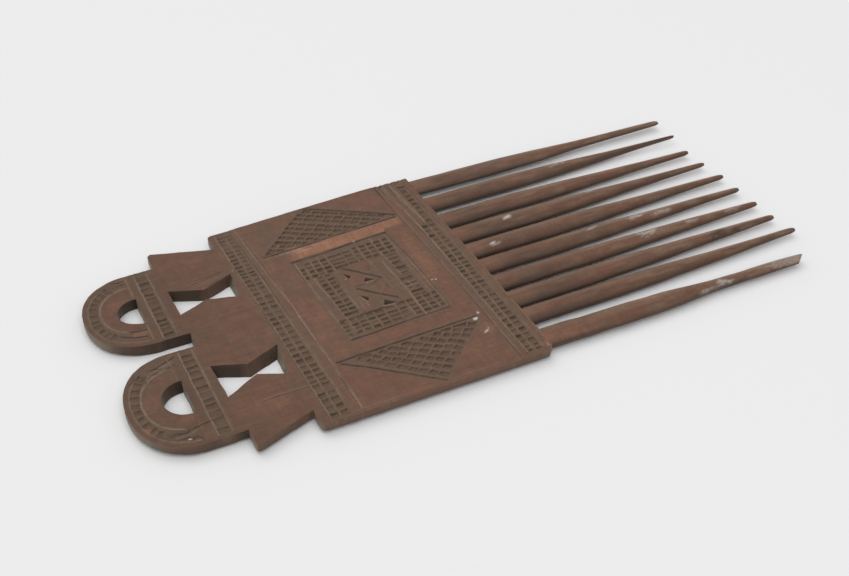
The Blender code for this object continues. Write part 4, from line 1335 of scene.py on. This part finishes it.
@dataclass
class Teeth:
    """The ten tapering teeth."""

    taper_from: float = 8.9
    half_thick: float = 2.18
    bulge_reach: float = 0.18
    sway: float = 0.16
    sides: int = 28
    rings: int = 74
    tip_power: float = 4.0
    break_back: float = 2.2
    break_facing: Triple = (1.0, -1.2, -0.2)
    last_tooth_y: float = -43.0
    fresh_until: float = 19.0
    fresh_over: float = 9.0
    broken_from: float = 108.6
    broken_over: float = 1.5
    shaded_until: float = 64.0
    shaded_over: float = 40.0
    flank_shades: tuple[tuple[float, ...], tuple[float, ...]] = (
        (0.0, 0.17, 0.34, 0.5, 0.7, 0.87, 1.0),
        (0.0, 0.05, 0.18, 0.34, 0.5, 0.56, 0.45),
    )
    rub_and_highlight_along: tuple[Triple, Triple] = ((8.0, 45.0, 95.0), (0.3, 0.75, 1.35))
    table: tuple[Tooth, ...] = (
        Tooth(48.5, 48.2, 118.9, 4.5, 1.15, slimming=0.78, lift=0.56, bulge=-0.27, bulge_at=0.72),
        Tooth(36.6, 37.0, 119.1, 4.35, tip_share=0.27, bulge=-0.17, bulge_at=0.84),
        Tooth(24.9, 24.8, 117.1, 4.4, bulge=-0.16, bulge_at=0.86),
        Tooth(14.4, 14.9, 117.7, 4.6, tip_share=0.8, bulge=-0.15, bulge_at=0.77),
        Tooth(4.05, 4.75, 119.1, 4.4, bulge=-0.06, bulge_at=0.9),
        Tooth(-5.75, -5.15, 119.0, 4.2),
        Tooth(-15.85, -15.55, 119.2, 4.3, bulge=0.07, bulge_at=0.76),
        Tooth(-26.0, -25.2, 119.4, 4.4, bulge=0.08, bulge_at=0.68),
        Tooth(-35.7, -35.1, 121.3, 4.2, bulge=0.03, bulge_at=0.6),
        Tooth(
            -48.0, -49.8, 114.4, 4.7, tip_share=1.42, slimming=0.84, lift=0.3, square=2.3, bulge=-0.3,
            bulge_at=0.68, rough=2.4,
        ),
    )
    taper: tuple[Triple, ...] = (
        (0.00, 1.00, 1.00),
        (0.30, 0.99, 1.00),
        (0.48, 0.87, 0.94),
        (0.63, 0.67, 0.80),
        (0.77, 0.53, 0.66),
        (0.91, 0.385, 0.5),
        (0.975, 0.315, 0.43),
        (0.993, 0.29, 0.4),
        (1.00, 0.2, 0.28),
    )

    def section(self, tooth: Tooth, share: float) -> tuple[float, float]:
        """Return a tooth's half width and half thickness part of the way to its tip.

        Args:
            tooth: The tooth.
            share: Share of the way, from 0 at the root to 1 at the tip.

        Returns:
            The two half sizes.
        """
        shares, widths, thicks = zip(*self.taper)
        change = 1.0 + (tooth.tip_share - 1.0) * share**self.tip_power
        change += tooth.bulge * math.exp(-(((share - tooth.bulge_at) / self.bulge_reach) ** 2))
        width = tooth.half_width * change * float(np.interp(share, shares, widths))
        return width, self.half_thick * tooth.slimming * float(np.interp(share, shares, thicks))

    def add_tooth(self, form: bmesh.types.BMesh, tooth: Tooth) -> None:
        """Loft one tooth through many rings, with the flats that a knife leaves.

        Args:
            form: The form that takes the tooth.
            tooth: The tooth.
        """
        smooth = np.linspace(0.0, 1.0, self.rings) ** 0.92
        previous: set[bmesh.types.BMEdge] = set()
        for index, share in enumerate([-0.006] + smooth.tolist()):
            x = self.taper_from + (tooth.tip_x - self.taper_from) * share
            y = tooth.root_y + (tooth.tip_y - tooth.root_y) * max(0.0, share)
            y += self.sway * min(1.0, 6.0 * max(0.0, share)) * float(WARP.at(x, tooth.root_y * 3.0, 17.0))
            width, thick = self.section(tooth, max(0.0, share))
            closing = index in (0, self.rings)
            ring = bmesh.ops.create_circle(form, segments=self.sides, radius=1.0, cap_ends=closing)["verts"]
            for vertex in ring:
                turn = math.atan2(vertex.co.y, vertex.co.x)
                across = math.copysign(abs(math.cos(turn)) ** (2.0 / tooth.square), math.cos(turn))
                upward = math.copysign(abs(math.sin(turn)) ** (2.0 / tooth.square), math.sin(turn))
                flats = float(HAND.at(x * 0.05 + tooth.root_y * 7.0, turn * 1.6 + 40.0, 1.0))
                ripple = float(WARP.at(x * 0.16 + tooth.root_y * 5.0, turn * 2.2 + 70.0, 1.0))
                size = 0.97 + (0.022 * flats + 0.016 * ripple) * tooth.rough
                height = THICKNESS / 2 + tooth.lift + upward * thick * size
                vertex.co = Vector((x, y + across * width * size, height))
            edges = {edge for vertex in ring for edge in vertex.link_edges}
            if previous:
                bmesh.ops.bridge_loops(form, edges=list(previous | edges))
            previous = edges

    def splinter(self, form: bmesh.types.BMesh, tooth: Tooth) -> None:
        """Break a tooth's tip off along a slant.

        Args:
            form: A form that holds that tooth alone.
            tooth: The tooth.
        """
        place = (tooth.tip_x - self.break_back, tooth.tip_y, THICKNESS / 2)
        geometry = form.verts[:] + form.edges[:] + form.faces[:]
        normal = Vector(self.break_facing).normalized()
        cut = bmesh.ops.bisect_plane(
            form, geom=geometry, dist=0.01, plane_co=place, plane_no=normal, clear_outer=True
        )["geom_cut"]
        rim = [item for item in cut if isinstance(item, bmesh.types.BMEdge)]
        bmesh.ops.edgeloop_fill(form, edges=rim)

    def build(self) -> bpy.types.Object:
        """Make the teeth.

        Returns:
            The piece that holds all ten.
        """
        mesh = bpy.data.meshes.new("teeth")
        with opened(mesh) as whole:
            for tooth in self.table:
                single = bpy.data.meshes.new("tooth")
                with opened(single) as form:
                    self.add_tooth(form, tooth)
                    if tooth is self.table[-1]:
                        self.splinter(form, tooth)
                    bmesh.ops.recalc_face_normals(form, faces=form.faces)
                whole.from_mesh(single)
                bpy.data.meshes.remove(single)
        return finished_piece("teeth", mesh, self.tones(mesh))

    def tones(self, mesh: bpy.types.Mesh) -> dict[str, np.ndarray]:
        """Work out the teeth's masks.

        Args:
            mesh: A mesh in drawing millimetres.

        Returns:
            The same three colours that the board has.
        """
        x, y = read_points(mesh).T[:2]
        facing_y, facing_z = read_points(mesh, "normal").T[1:]
        upper = unit((facing_z - 0.2) / 0.5)
        toward_root = unit((self.shaded_until - x) / self.shaded_over)
        root = unit((self.fresh_until - x) / self.fresh_over) * upper
        root = root * np.where(y < self.last_tooth_y, 0.4, 1.0)
        broken = unit((x - self.broken_from) / self.broken_over) * (y < self.last_tooth_y)
        found = {mark: np.zeros_like(x) for mark in (Mark.CHALK, Mark.STAIN, Mark.STRIP)}
        for blot in blots_from(TOOTH_BLOTS):
            seen = upper if blot.mark is Mark.CHALK else unit(facing_z * 4.0 + 1.0)
            found[blot.mark] = np.maximum(found[blot.mark], blot.shade(x, y) * seen)
        ones = np.ones_like(x)
        dull = unit(0.18 + 1.6 * WARP.at(x * 0.3, y * 1.4, 3.0))
        rubbed_and_lit = 0.5 * unit(0.1 + 1.1 * HAND.at(x * 0.35, y * 2.0, 2.0)) * upper
        # Painted highlight: the upper side facing +Y is lightened and joins the rubbing.
        lit_rim = unit(facing_y * 4.0) * upper * (0.8 + 0.5 * WARP.at(x * 0.3, y, 4.0))
        rubbed_and_lit = np.maximum(rubbed_and_lit, lit_rim) * np.interp(x, *self.rub_and_highlight_along)
        cut = 0.36 * unit(-0.1 + HAND.at(x * 0.2, y * 2.4, 1.3))
        # Painted shade with grime: darker toward the roots.
        cut = cut + 0.3 * toward_root * (y > self.last_tooth_y)
        relief = np.column_stack((cut, rubbed_and_lit, dull, ones))
        fresh = np.maximum(np.maximum(0.36 * root, 0.5 * broken), found[Mark.STRIP])
        marks = np.column_stack((fresh, found[Mark.CHALK], found[Mark.STAIN], ones))
        # Painted shade: sides that face less upward take the darker flank tone.
        wall = unit((0.8 - facing_z) / 0.7) * 0.7
        shade = np.interp(-facing_y, *self.flank_shades) * (1.0 + 0.3 * toward_root)
        sides = np.column_stack((wall, ones * 0.0, shade, ones))
        return {"relief": relief, "marks": marks, "sides": sides}


@dataclass(frozen=True)
class WoodFinish:
    """The tones and wear of one stretch of the comb's wood."""

    name: str
    red: Triple = (0.191, 0.087, 0.049)
    grey: Triple = (0.136, 0.095, 0.061)
    ember: Triple = (0.226, 0.097, 0.060)
    # The dark tone serves for grime, pores and stains and for painted shade; flank paints shade on the sides.
    grime_and_shade: Triple = (0.026, 0.017, 0.011)
    flank: Triple = (0.108, 0.073, 0.052)
    end_grain_and_side_light: Triple = (0.235, 0.210, 0.158)
    fresh: Triple = (0.47, 0.205, 0.108)
    chalk: Triple = (0.62, 0.60, 0.56)
    roughness: float = 0.55
    dulling: float = 0.9
    grime_and_shade_depth: float = 0.9
    rub_and_highlight_light: float = 0.84
    line_scale: float = 0.8
    line_strength: float = 0.4
    ember_light: float = 0.75
    mottling: float = 0.55
    flank_shade: float = 0.85
    scraping: float = 0.3
    dusting: float = 0.35
    pore_shade: float = 0.2
    end_light: float = 0.85
    deep_shade: float = 0.92
    staining: float = 0.75
    grime_and_shade_rough: float = 0.25
    dust_rough: float = 0.08
    line_height: float = -0.5
    pore_depth: float = 0.6
    dust_height: float = 0.35
    bump: float = 0.35
    bump_mm: float = 0.12
    specular: float = 0.35
    seed: float = 0.0

    def darker(self) -> Triple:
        """Return the tone of the dark streaks."""
        return tuple(channel * 0.5 for channel in self.red)

    def lighter(self) -> Triple:
        """Return the tone of the rubbed lips and their painted highlights."""
        return tuple(min(1.0, channel * 1.58 + 0.022) for channel in self.grey)


class Course(Enum):
    """How a pattern runs through the wood."""

    EVEN = "even"
    BENT = "bent"
    ALONG = "along the grain"
    DASHED = "in dashes along the grain"
    ACROSS = "across the grain"


@dataclass(frozen=True)
class Pattern:
    """One noise in the wood. Without a scale of its own it takes the group's fineness."""

    name: str
    course: Course
    scale: float | None
    detail: float
    roughness: float
    shows: tuple[float, float]


class NodeBench:
    """A short way to place and wire the nodes of one tree."""

    def __init__(self, tree: bpy.types.NodeTree) -> None:
        """Keep the tree.

        Args:
            tree: The material's or group's node tree.
        """
        self.tree = tree

    def add(self, kind: str, settings: dict | None = None, **inputs: object) -> bpy.types.Node:
        """Place a node.

        Args:
            kind: Blender's name of the node type.
            settings: Properties of the node.
            **inputs: Socket names, with _ for a space, and either a value or a
                socket to link from.

        Returns:
            The node.
        """
        node = self.tree.nodes.new(kind)
        for key, value in (settings or {}).items():
            setattr(node, key, value)
        for key, value in inputs.items():
            self.feed(node.inputs[key.replace("_", " ")], value)
        return node

    def feed(self, socket: bpy.types.NodeSocket, value: object) -> None:
        """Link a socket to another, or set it.

        Args:
            socket: The input.
            value: A socket or a plain value.
        """
        if isinstance(value, bpy.types.NodeSocket):
            self.tree.links.new(value, socket)
        else:
            socket.default_value = value

    def math(
        self, operation: str, first: object, second: object = 0.0, clamp: bool = False
    ) -> bpy.types.NodeSocket:
        """Return the result of one sum.

        Args:
            operation: Blender's name of the operation.
            first: First value or socket.
            second: Second value or socket.
            clamp: Whether to hold the result between 0 and 1.

        Returns:
            The result's socket.
        """
        node = self.tree.nodes.new("ShaderNodeMath")
        node.operation = operation
        node.use_clamp = clamp
        self.feed(node.inputs[0], first)
        self.feed(node.inputs[1], second)
        return node.outputs[0]

    def vector(self, operation: str, *items: object) -> bpy.types.NodeSocket:
        """Return the result of one sum on vectors.

        Args:
            operation: Blender's name of the operation.
            *items: The vectors or sockets.

        Returns:
            The result's socket.
        """
        node = self.tree.nodes.new("ShaderNodeVectorMath")
        node.operation = operation
        for socket, item in zip(node.inputs, items):
            self.feed(socket, item)
        return node.outputs[0]

    def span(
        self, value: object, low: float, high: float, to_low: float = 0.0, to_high: float = 1.0
    ) -> bpy.types.NodeSocket:
        """Return a value carried from one range to another and held there.

        Args:
            value: Value or socket.
            low: Start of its range.
            high: End of its range.
            to_low: Result at the start.
            to_high: Result at the end.

        Returns:
            The result's socket.
        """
        node = self.tree.nodes.new("ShaderNodeMapRange")
        node.clamp = True
        for index, item in enumerate((value, low, high, to_low, to_high)):
            self.feed(node.inputs[index], item)
        return node.outputs[0]

    def blend(self, share: object, first: object, second: object) -> bpy.types.NodeSocket:
        """Return a mix of two colours.

        Args:
            share: Share of the second colour.
            first: First colour or socket.
            second: Second colour or socket.

        Returns:
            The mixed colour's socket.
        """
        node = self.tree.nodes.new("ShaderNodeMix")
        node.data_type = "RGBA"
        self.feed(node.inputs["Factor"], share)
        for name, item in (("A", first), ("B", second)):
            socket = next(each for each in node.inputs if each.name == name and each.type == "RGBA")
            self.feed(socket, (*item, 1.0) if isinstance(item, tuple) else item)
        return next(each for each in node.outputs if each.type == "RGBA")


Group = tuple[bpy.types.NodeTree, bpy.types.Node, bpy.types.Node, NodeBench]


class WoodEffects:
    """The node groups that every stretch of wood shares."""

    PATTERNS = (
        Pattern("Lines", Course.ALONG, None, 5.0, 0.62, (0.36, 0.66)),
        Pattern("Pores", Course.DASHED, 1.0, 2.0, 0.5, (0.60, 0.72)),
        Pattern("Clouds", Course.EVEN, 0.09, 4.0, 0.55, (0.38, 0.62)),
        Pattern("Embers", Course.BENT, 0.16, 3.0, 0.6, (0.42, 0.62)),
        Pattern("Mottle", Course.EVEN, 0.37, 7.0, 0.68, (0.36, 0.66)),
        Pattern("Scrapes", Course.ACROSS, 0.9, 3.0, 0.6, (0.4, 0.66)),
        Pattern("Dust", Course.EVEN, 1.1, 5.0, 0.7, (0.35, 0.68)),
    )

    def __init__(self) -> None:
        """Build both groups."""
        self.grain = self.make_grain()
        self.age = self.make_age()

    @staticmethod
    def new_group(name: str, takes: Iterable[tuple[str, str, float]], gives: Iterable[str]) -> Group:
        """Start a group.

        Args:
            name: The group's name.
            takes: Name, socket type and starting value of each input.
            gives: Names of the outputs.

        Returns:
            The group, its input and output nodes and a bench for its tree.
        """
        tree = bpy.data.node_groups.new(name, "ShaderNodeTree")
        for label, kind, value in takes:
            socket = tree.interface.new_socket(label, in_out="INPUT", socket_type=kind)
            if kind == "NodeSocketFloat":
                socket.default_value = value
        for label in gives:
            tree.interface.new_socket(label, in_out="OUTPUT", socket_type="NodeSocketFloat")
        return tree, tree.nodes.new("NodeGroupInput"), tree.nodes.new("NodeGroupOutput"), NodeBench(tree)

    def make_grain(self) -> bpy.types.NodeTree:
        """Return the group for lines, pores and clouds in the wood.

        Returns:
            The group, whose Vector input is in millimetres along the grain.
        """
        takes = (
            ("Vector", "NodeSocketVector", 0.0),
            ("Fineness", "NodeSocketFloat", 1.0),
            ("Seed", "NodeSocketFloat", 0.0),
        )
        names = tuple(pattern.name for pattern in self.PATTERNS)
        tree, source, sink, bench = self.new_group("wood_grain", takes, names)
        shift = bench.add("ShaderNodeCombineXYZ", X=source.outputs["Seed"], Y=source.outputs["Seed"])
        even = bench.vector("ADD", source.outputs["Vector"], shift.outputs[0])
        bend = bench.add("ShaderNodeTexNoise", Vector=even, Scale=0.035, Detail=2.0)
        bent = bench.vector("MULTIPLY_ADD", bend.outputs["Color"], (0.0, 7.0, 4.0), even)
        courses = {
            Course.EVEN: even,
            Course.BENT: bent,
            Course.ALONG: bench.vector("MULTIPLY", bent, (0.045, 1.0, 1.0)),
            Course.DASHED: bench.vector("MULTIPLY", bent, (0.22, 3.4, 3.4)),
            Course.ACROSS: bench.vector("MULTIPLY", even, (1.0, 0.12, 0.12)),
        }
        for pattern in self.PATTERNS:
            noise = bench.add(
                "ShaderNodeTexNoise",
                Vector=courses[pattern.course],
                Scale=source.outputs["Fineness"] if pattern.scale is None else pattern.scale,
                Detail=pattern.detail,
                Roughness=pattern.roughness,
            )
            bench.feed(sink.inputs[pattern.name], bench.span(noise.outputs["Fac"], *pattern.shows))
        return tree

    def make_age(self) -> bpy.types.NodeTree:
        """Return the group that turns carving into grime with painted shade, rubbing with painted highlights,
        and dullness.

        Returns:
            The group.
        """
        takes = tuple((label, "NodeSocketFloat", 0.0) for label in ("Cut", "RubbedAndLit", "Dull", "Clouds", "Dust"))
        tree, source, sink, bench = self.new_group("wood_age", takes, ("GrimeAndShade", "RubAndHighlight", "Dullness"))
        cut = bench.math("POWER", source.outputs["Cut"], 1.2)
        speckle = bench.span(source.outputs["Dust"], 0.0, 1.0, 0.65, 1.1)
        bench.feed(sink.inputs["GrimeAndShade"], bench.math("MULTIPLY", cut, speckle, clamp=True))
        scuffed = bench.span(source.outputs["Dust"], 0.1, 0.8, 0.5, 1.2)
        bench.feed(sink.inputs["RubAndHighlight"], bench.math("MULTIPLY", source.outputs["RubbedAndLit"], scuffed, clamp=True))
        cloudy = bench.span(source.outputs["Clouds"], 0.0, 1.0, 0.0, 0.5)
        deeper = bench.math("MULTIPLY", source.outputs["Dull"], 0.9)
        bench.feed(sink.inputs["Dullness"], bench.math("ADD", cloudy, deeper, clamp=True))
        return tree


@dataclass
class WoodMaterials:
    """Builds the comb's materials from their finishes."""

    effects: WoodEffects = field(default_factory=WoodEffects)

    @staticmethod
    def masks(bench: NodeBench, name: str) -> list[bpy.types.NodeSocket]:
        """Return the three masks that a colour on the mesh's points carries.

        Args:
            bench: The material's bench.
            name: Name of the colour.

        Returns:
            A socket for each mask.
        """
        colour = bench.add("ShaderNodeAttribute", {"attribute_name": name}).outputs["Color"]
        return list(bench.add("ShaderNodeSeparateColor", Color=colour).outputs)

    def make(self, finish: WoodFinish) -> bpy.types.Material:
        """Return one wood material.

        Args:
            finish: Its tones and wear.

        Returns:
            The material.
        """
        material = bpy.data.materials.new(finish.name)
        material.use_nodes = True
        bench = NodeBench(material.node_tree)
        shader = material.node_tree.nodes["Principled BSDF"]
        place = bench.add("ShaderNodeTexCoord")
        in_mm = bench.add("ShaderNodeMapping", Vector=place.outputs["Object"], Scale=(1.0 / MM,) * 3)
        grain = bench.add("ShaderNodeGroup", {"node_tree": self.effects.grain})
        values = (in_mm.outputs[0], finish.line_scale, finish.seed)
        for name, value in zip(("Vector", "Fineness", "Seed"), values):
            bench.feed(grain.inputs[name], value)
        lines, pores, dust = (grain.outputs[name] for name in ("Lines", "Pores", "Dust"))
        relief = self.masks(bench, "relief")
        strip, chalk, stain = self.masks(bench, "marks")
        wall, end_grain_and_side_light, shade = self.masks(bench, "sides")
        age = bench.add("ShaderNodeGroup", {"node_tree": self.effects.age})
        for name, socket in zip(("Cut", "RubbedAndLit", "Dull"), relief):
            bench.feed(age.inputs[name], socket)
        for name in ("Clouds", "Dust"):
            bench.feed(age.inputs[name], grain.outputs[name])
        grime_and_shade, dullness = age.outputs["GrimeAndShade"], age.outputs["Dullness"]
        clean = bench.math("SUBTRACT", 1.05, dullness, clamp=True)
        # Each coat of colour: its mask, how much of the mask counts, and its tone.
        coats = (
            (dullness, finish.dulling, finish.grey),
            (bench.math("MULTIPLY", grain.outputs["Embers"], clean), finish.ember_light, finish.ember),
            (grain.outputs["Mottle"], finish.mottling, finish.darker()),
            # Painted shade with some grime: the sides take the darker flank tone.
            (wall, finish.flank_shade, finish.flank),
            (strip, bench.span(lines, 0.0, 1.0, 0.55, 1.0), finish.fresh),
            (lines, finish.line_strength, finish.darker()),
            (grain.outputs["Scrapes"], finish.scraping, finish.darker()),
            (bench.span(dust, 0.0, 1.0, 1.0, 0.0), finish.dusting, finish.darker()),
            (pores, finish.pore_shade, finish.grime_and_shade),
            # Grime with painted shade in the cuts.
            (grime_and_shade, finish.grime_and_shade_depth, finish.grime_and_shade),
            # Wear with painted highlights on lips, ridges and rims.
            (age.outputs["RubAndHighlight"], finish.rub_and_highlight_light, finish.lighter()),
            # End grain with painted light on walls that face along the board.
            (end_grain_and_side_light, finish.end_light, finish.end_grain_and_side_light),
            (shade, finish.deep_shade, finish.grime_and_shade),
            (stain, finish.staining, finish.grime_and_shade),
            (chalk, bench.span(dust, 0.0, 0.8, 0.4, 1.0), finish.chalk),
        )
        colour: object = finish.red
        for mask, amount, tone in coats:
            colour = bench.blend(bench.math("MULTIPLY", mask, amount), colour, tone)
        bench.feed(shader.inputs["Base Color"], colour)
        rough = bench.math("ADD", finish.roughness, bench.math("MULTIPLY", grime_and_shade, finish.grime_and_shade_rough))
        rough = bench.math("ADD", rough, bench.math("MULTIPLY", dust, finish.dust_rough), clamp=True)
        bench.feed(shader.inputs["Roughness"], rough)
        shader.inputs["Specular IOR Level"].default_value = finish.specular
        height = bench.math("MULTIPLY", lines, finish.line_height)
        height = bench.math("SUBTRACT", height, bench.math("MULTIPLY", pores, finish.pore_depth))
        height = bench.math("ADD", height, bench.math("MULTIPLY", dust, finish.dust_height))
        bump = bench.add("ShaderNodeBump", Height=height, Strength=finish.bump, Distance=finish.bump_mm * MM)
        bench.feed(shader.inputs["Normal"], bump.outputs["Normal"])
        return material


@dataclass
class Studio:
    """The pale floor, the soft lights and the camera."""

    camera_place: Triple = (-158.18, -303.50, 264.83)
    view_right: Triple = (0.89879, -0.43837, 0.0)
    view_forward: Triple = (0.34307, 0.70340, -0.62251)
    lens_mm: float = 52.58
    sensor_mm: float = 36.0
    floor_half: float = 4.0
    floor_tone: Triple = (0.8, 0.8, 0.8032)
    floor_roughness: float = 0.9
    floor_gloss: float = 0.2
    sky_strength: float = 0.55
    key_power: float = 61.0
    key_size: float = 3.6
    key_place: Triple = (-0.5, -1.95, 3.1)
    top_power: float = 18.5
    top_size: float = 2.2
    top_place: Triple = (-0.2, 1.1, 2.25)

    def build(self) -> None:
        """Set up the whole studio."""
        self.lay_floor()
        self.hang_light("key_softbox", self.key_place, self.key_size, self.key_power)
        self.hang_light("top_softbox", self.top_place, self.top_size, self.top_power)
        self.paint_sky()
        self.place_camera()

    def lay_floor(self) -> None:
        """Lay the floor at the height that the comb rests on."""
        mesh = bpy.data.meshes.new("studio_floor")
        with opened(mesh) as form:
            bmesh.ops.create_grid(form, x_segments=2, y_segments=2, size=self.floor_half)
        floor = placed("studio_floor", mesh)
        material = bpy.data.materials.new("studio_paper")
        material.use_nodes = True
        shader = material.node_tree.nodes["Principled BSDF"]
        shader.inputs["Base Color"].default_value = (*self.floor_tone, 1.0)
        shader.inputs["Roughness"].default_value = self.floor_roughness
        shader.inputs["Specular IOR Level"].default_value = self.floor_gloss
        floor.data.materials.append(material)

    def hang_light(self, name: str, place: Triple, size: float, power: float) -> None:
        """Hang a square soft light that faces the comb.

        Args:
            name: The light's name.
            place: Its place in metres.
            size: Its side in metres.
            power: Its power in watts.
        """
        lamp = bpy.data.lights.new(name, "AREA")
        lamp.shape = "SQUARE"
        lamp.size = size
        lamp.energy = power
        light = placed(name, lamp)
        light.location = place
        light.rotation_euler = (-Vector(place)).to_track_quat("-Z", "Y").to_euler()

    def paint_sky(self) -> None:
        """Surround the studio with even white light."""
        world = bpy.data.worlds.new("studio_walls")
        world.use_nodes = True
        backdrop = world.node_tree.nodes["Background"]
        backdrop.inputs["Color"].default_value = (1.0, 1.0, 1.0, 1.0)
        backdrop.inputs["Strength"].default_value = self.sky_strength
        bpy.context.scene.world = world

    def place_camera(self) -> None:
        """Put the camera where the comb was seen from."""
        data = bpy.data.cameras.new("portrait")
        data.lens = self.lens_mm
        data.sensor_width = self.sensor_mm
        data.clip_start = 0.01
        camera = placed("portrait", data)
        camera.location = (
            (self.camera_place[0] + CENTRE[0]) * MM,
            (self.camera_place[1] + CENTRE[1]) * MM,
            self.camera_place[2] * MM,
        )
        right = Vector(self.view_right).normalized()
        back = -Vector(self.view_forward).normalized()
        up = back.cross(right)
        camera.rotation_euler = Matrix((right, up, back)).transposed().to_euler()
        bpy.context.scene.camera = camera
        bpy.context.scene.view_settings.view_transform = "Standard"


@contextmanager
def opened(mesh: bpy.types.Mesh) -> Iterator[bmesh.types.BMesh]:
    """Open a mesh for bmesh operators and write the result back into it.

    Args:
        mesh: The mesh.

    Yields:
        Its form.
    """
    form = bmesh.new()
    form.from_mesh(mesh)
    yield form
    form.to_mesh(mesh)
    form.free()


def placed(name: str, data: bpy.types.ID) -> bpy.types.Object:
    """Put a mesh, curve, light or camera into the scene.

    Args:
        name: Name for its object.
        data: What the object holds.

    Returns:
        The object.
    """
    holder = bpy.data.objects.new(name, data)
    bpy.context.scene.collection.objects.link(holder)
    return holder


def spaced(*stretches: Triple) -> np.ndarray:
    """Return places along a line, stretch by stretch.

    Args:
        *stretches: Start, end and largest step of each stretch.

    Returns:
        The places, each stretch evenly divided.
    """
    places = [np.array([stretches[0][0]])]
    for start, end, step in stretches:
        count = math.ceil((end - start) / step)
        places.append(np.linspace(start, end, count + 1)[1:])
    return np.concatenate(places)


def read_points(mesh: bpy.types.Mesh, what: str = "co") -> np.ndarray:
    """Read a mesh's points, or with "normal" the directions that it faces there.

    Args:
        mesh: The mesh.
        what: Blender's name of the value.

    Returns:
        The values, one point to a row.
    """
    flat = np.empty(len(mesh.vertices) * 3, np.float32)
    mesh.vertices.foreach_get(what, flat)
    return flat.reshape(-1, 3).astype(float)


def write_points(mesh: bpy.types.Mesh, places: np.ndarray) -> None:
    """Move a mesh's points.

    Args:
        mesh: The mesh.
        places: The new points, one to a row.
    """
    mesh.vertices.foreach_set("co", places.astype(np.float32).ravel())
    mesh.update()


def evaluated_mesh(name: str, curve: bpy.types.Curve) -> bpy.types.Mesh:
    """Return a curve's solid as a mesh.

    Args:
        name: Name for the helper object.
        curve: The curve.

    Returns:
        The mesh.
    """
    helper = placed(name, curve)
    mesh = bpy.data.meshes.new_from_object(helper.evaluated_get(bpy.context.evaluated_depsgraph_get()))
    bpy.data.objects.remove(helper)
    return mesh


def finished_piece(name: str, mesh: bpy.types.Mesh, tones: dict[str, np.ndarray]) -> bpy.types.Object:
    """Turn a mesh in drawing millimetres into a piece of the comb.

    Args:
        name: The piece's name.
        mesh: Its mesh.
        tones: The colours that the mesh carries at its points.

    Returns:
        The piece.
    """
    places = read_points(mesh)
    places[:, 0] += CENTRE[0]
    places[:, 1] += CENTRE[1]
    write_points(mesh, places * MM)
    for label, values in tones.items():
        layer = mesh.attributes.new(label, "FLOAT_COLOR", "POINT")
        layer.data.foreach_set("color", values.astype(np.float32).ravel())
    mesh.shade_smooth()
    mesh.set_sharp_from_angle(angle=math.radians(SHARP_FROM))
    return placed(name, mesh)


def dress(piece: bpy.types.Object, material: bpy.types.Material) -> None:
    """Give a piece its material and tie it to the comb.

    Args:
        piece: The piece.
        material: Its material.
    """
    piece.data.materials.clear()
    piece.data.materials.append(material)
    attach(piece, BODY)
    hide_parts(COMB_NODE)
    triangles = sum(len(face.vertices) - 2 for face in piece.data.polygons)
    LOG.info("%s: %d triangles", piece.name, triangles)


def main() -> None:
    """Build the comb and its studio."""
    logging.basicConfig(level=logging.INFO, format="%(name)s: %(message)s")
    Studio().build()
    materials = WoodMaterials()
    board_wood = materials.make(WoodFinish("board_wood", seed=3.0))
    tooth_wood = materials.make(
        WoodFinish(
            "tooth_wood", red=(0.196, 0.085, 0.046), grey=(0.152, 0.096, 0.058), ember=(0.262, 0.102, 0.056),
            roughness=0.44, dulling=0.76, line_strength=0.5, seed=41.0,
        )
    )
    for piece in Board().build():
        dress(piece, board_wood)
    dress(Teeth().build(), tooth_wood)


if __name__ == "__main__":
    main()
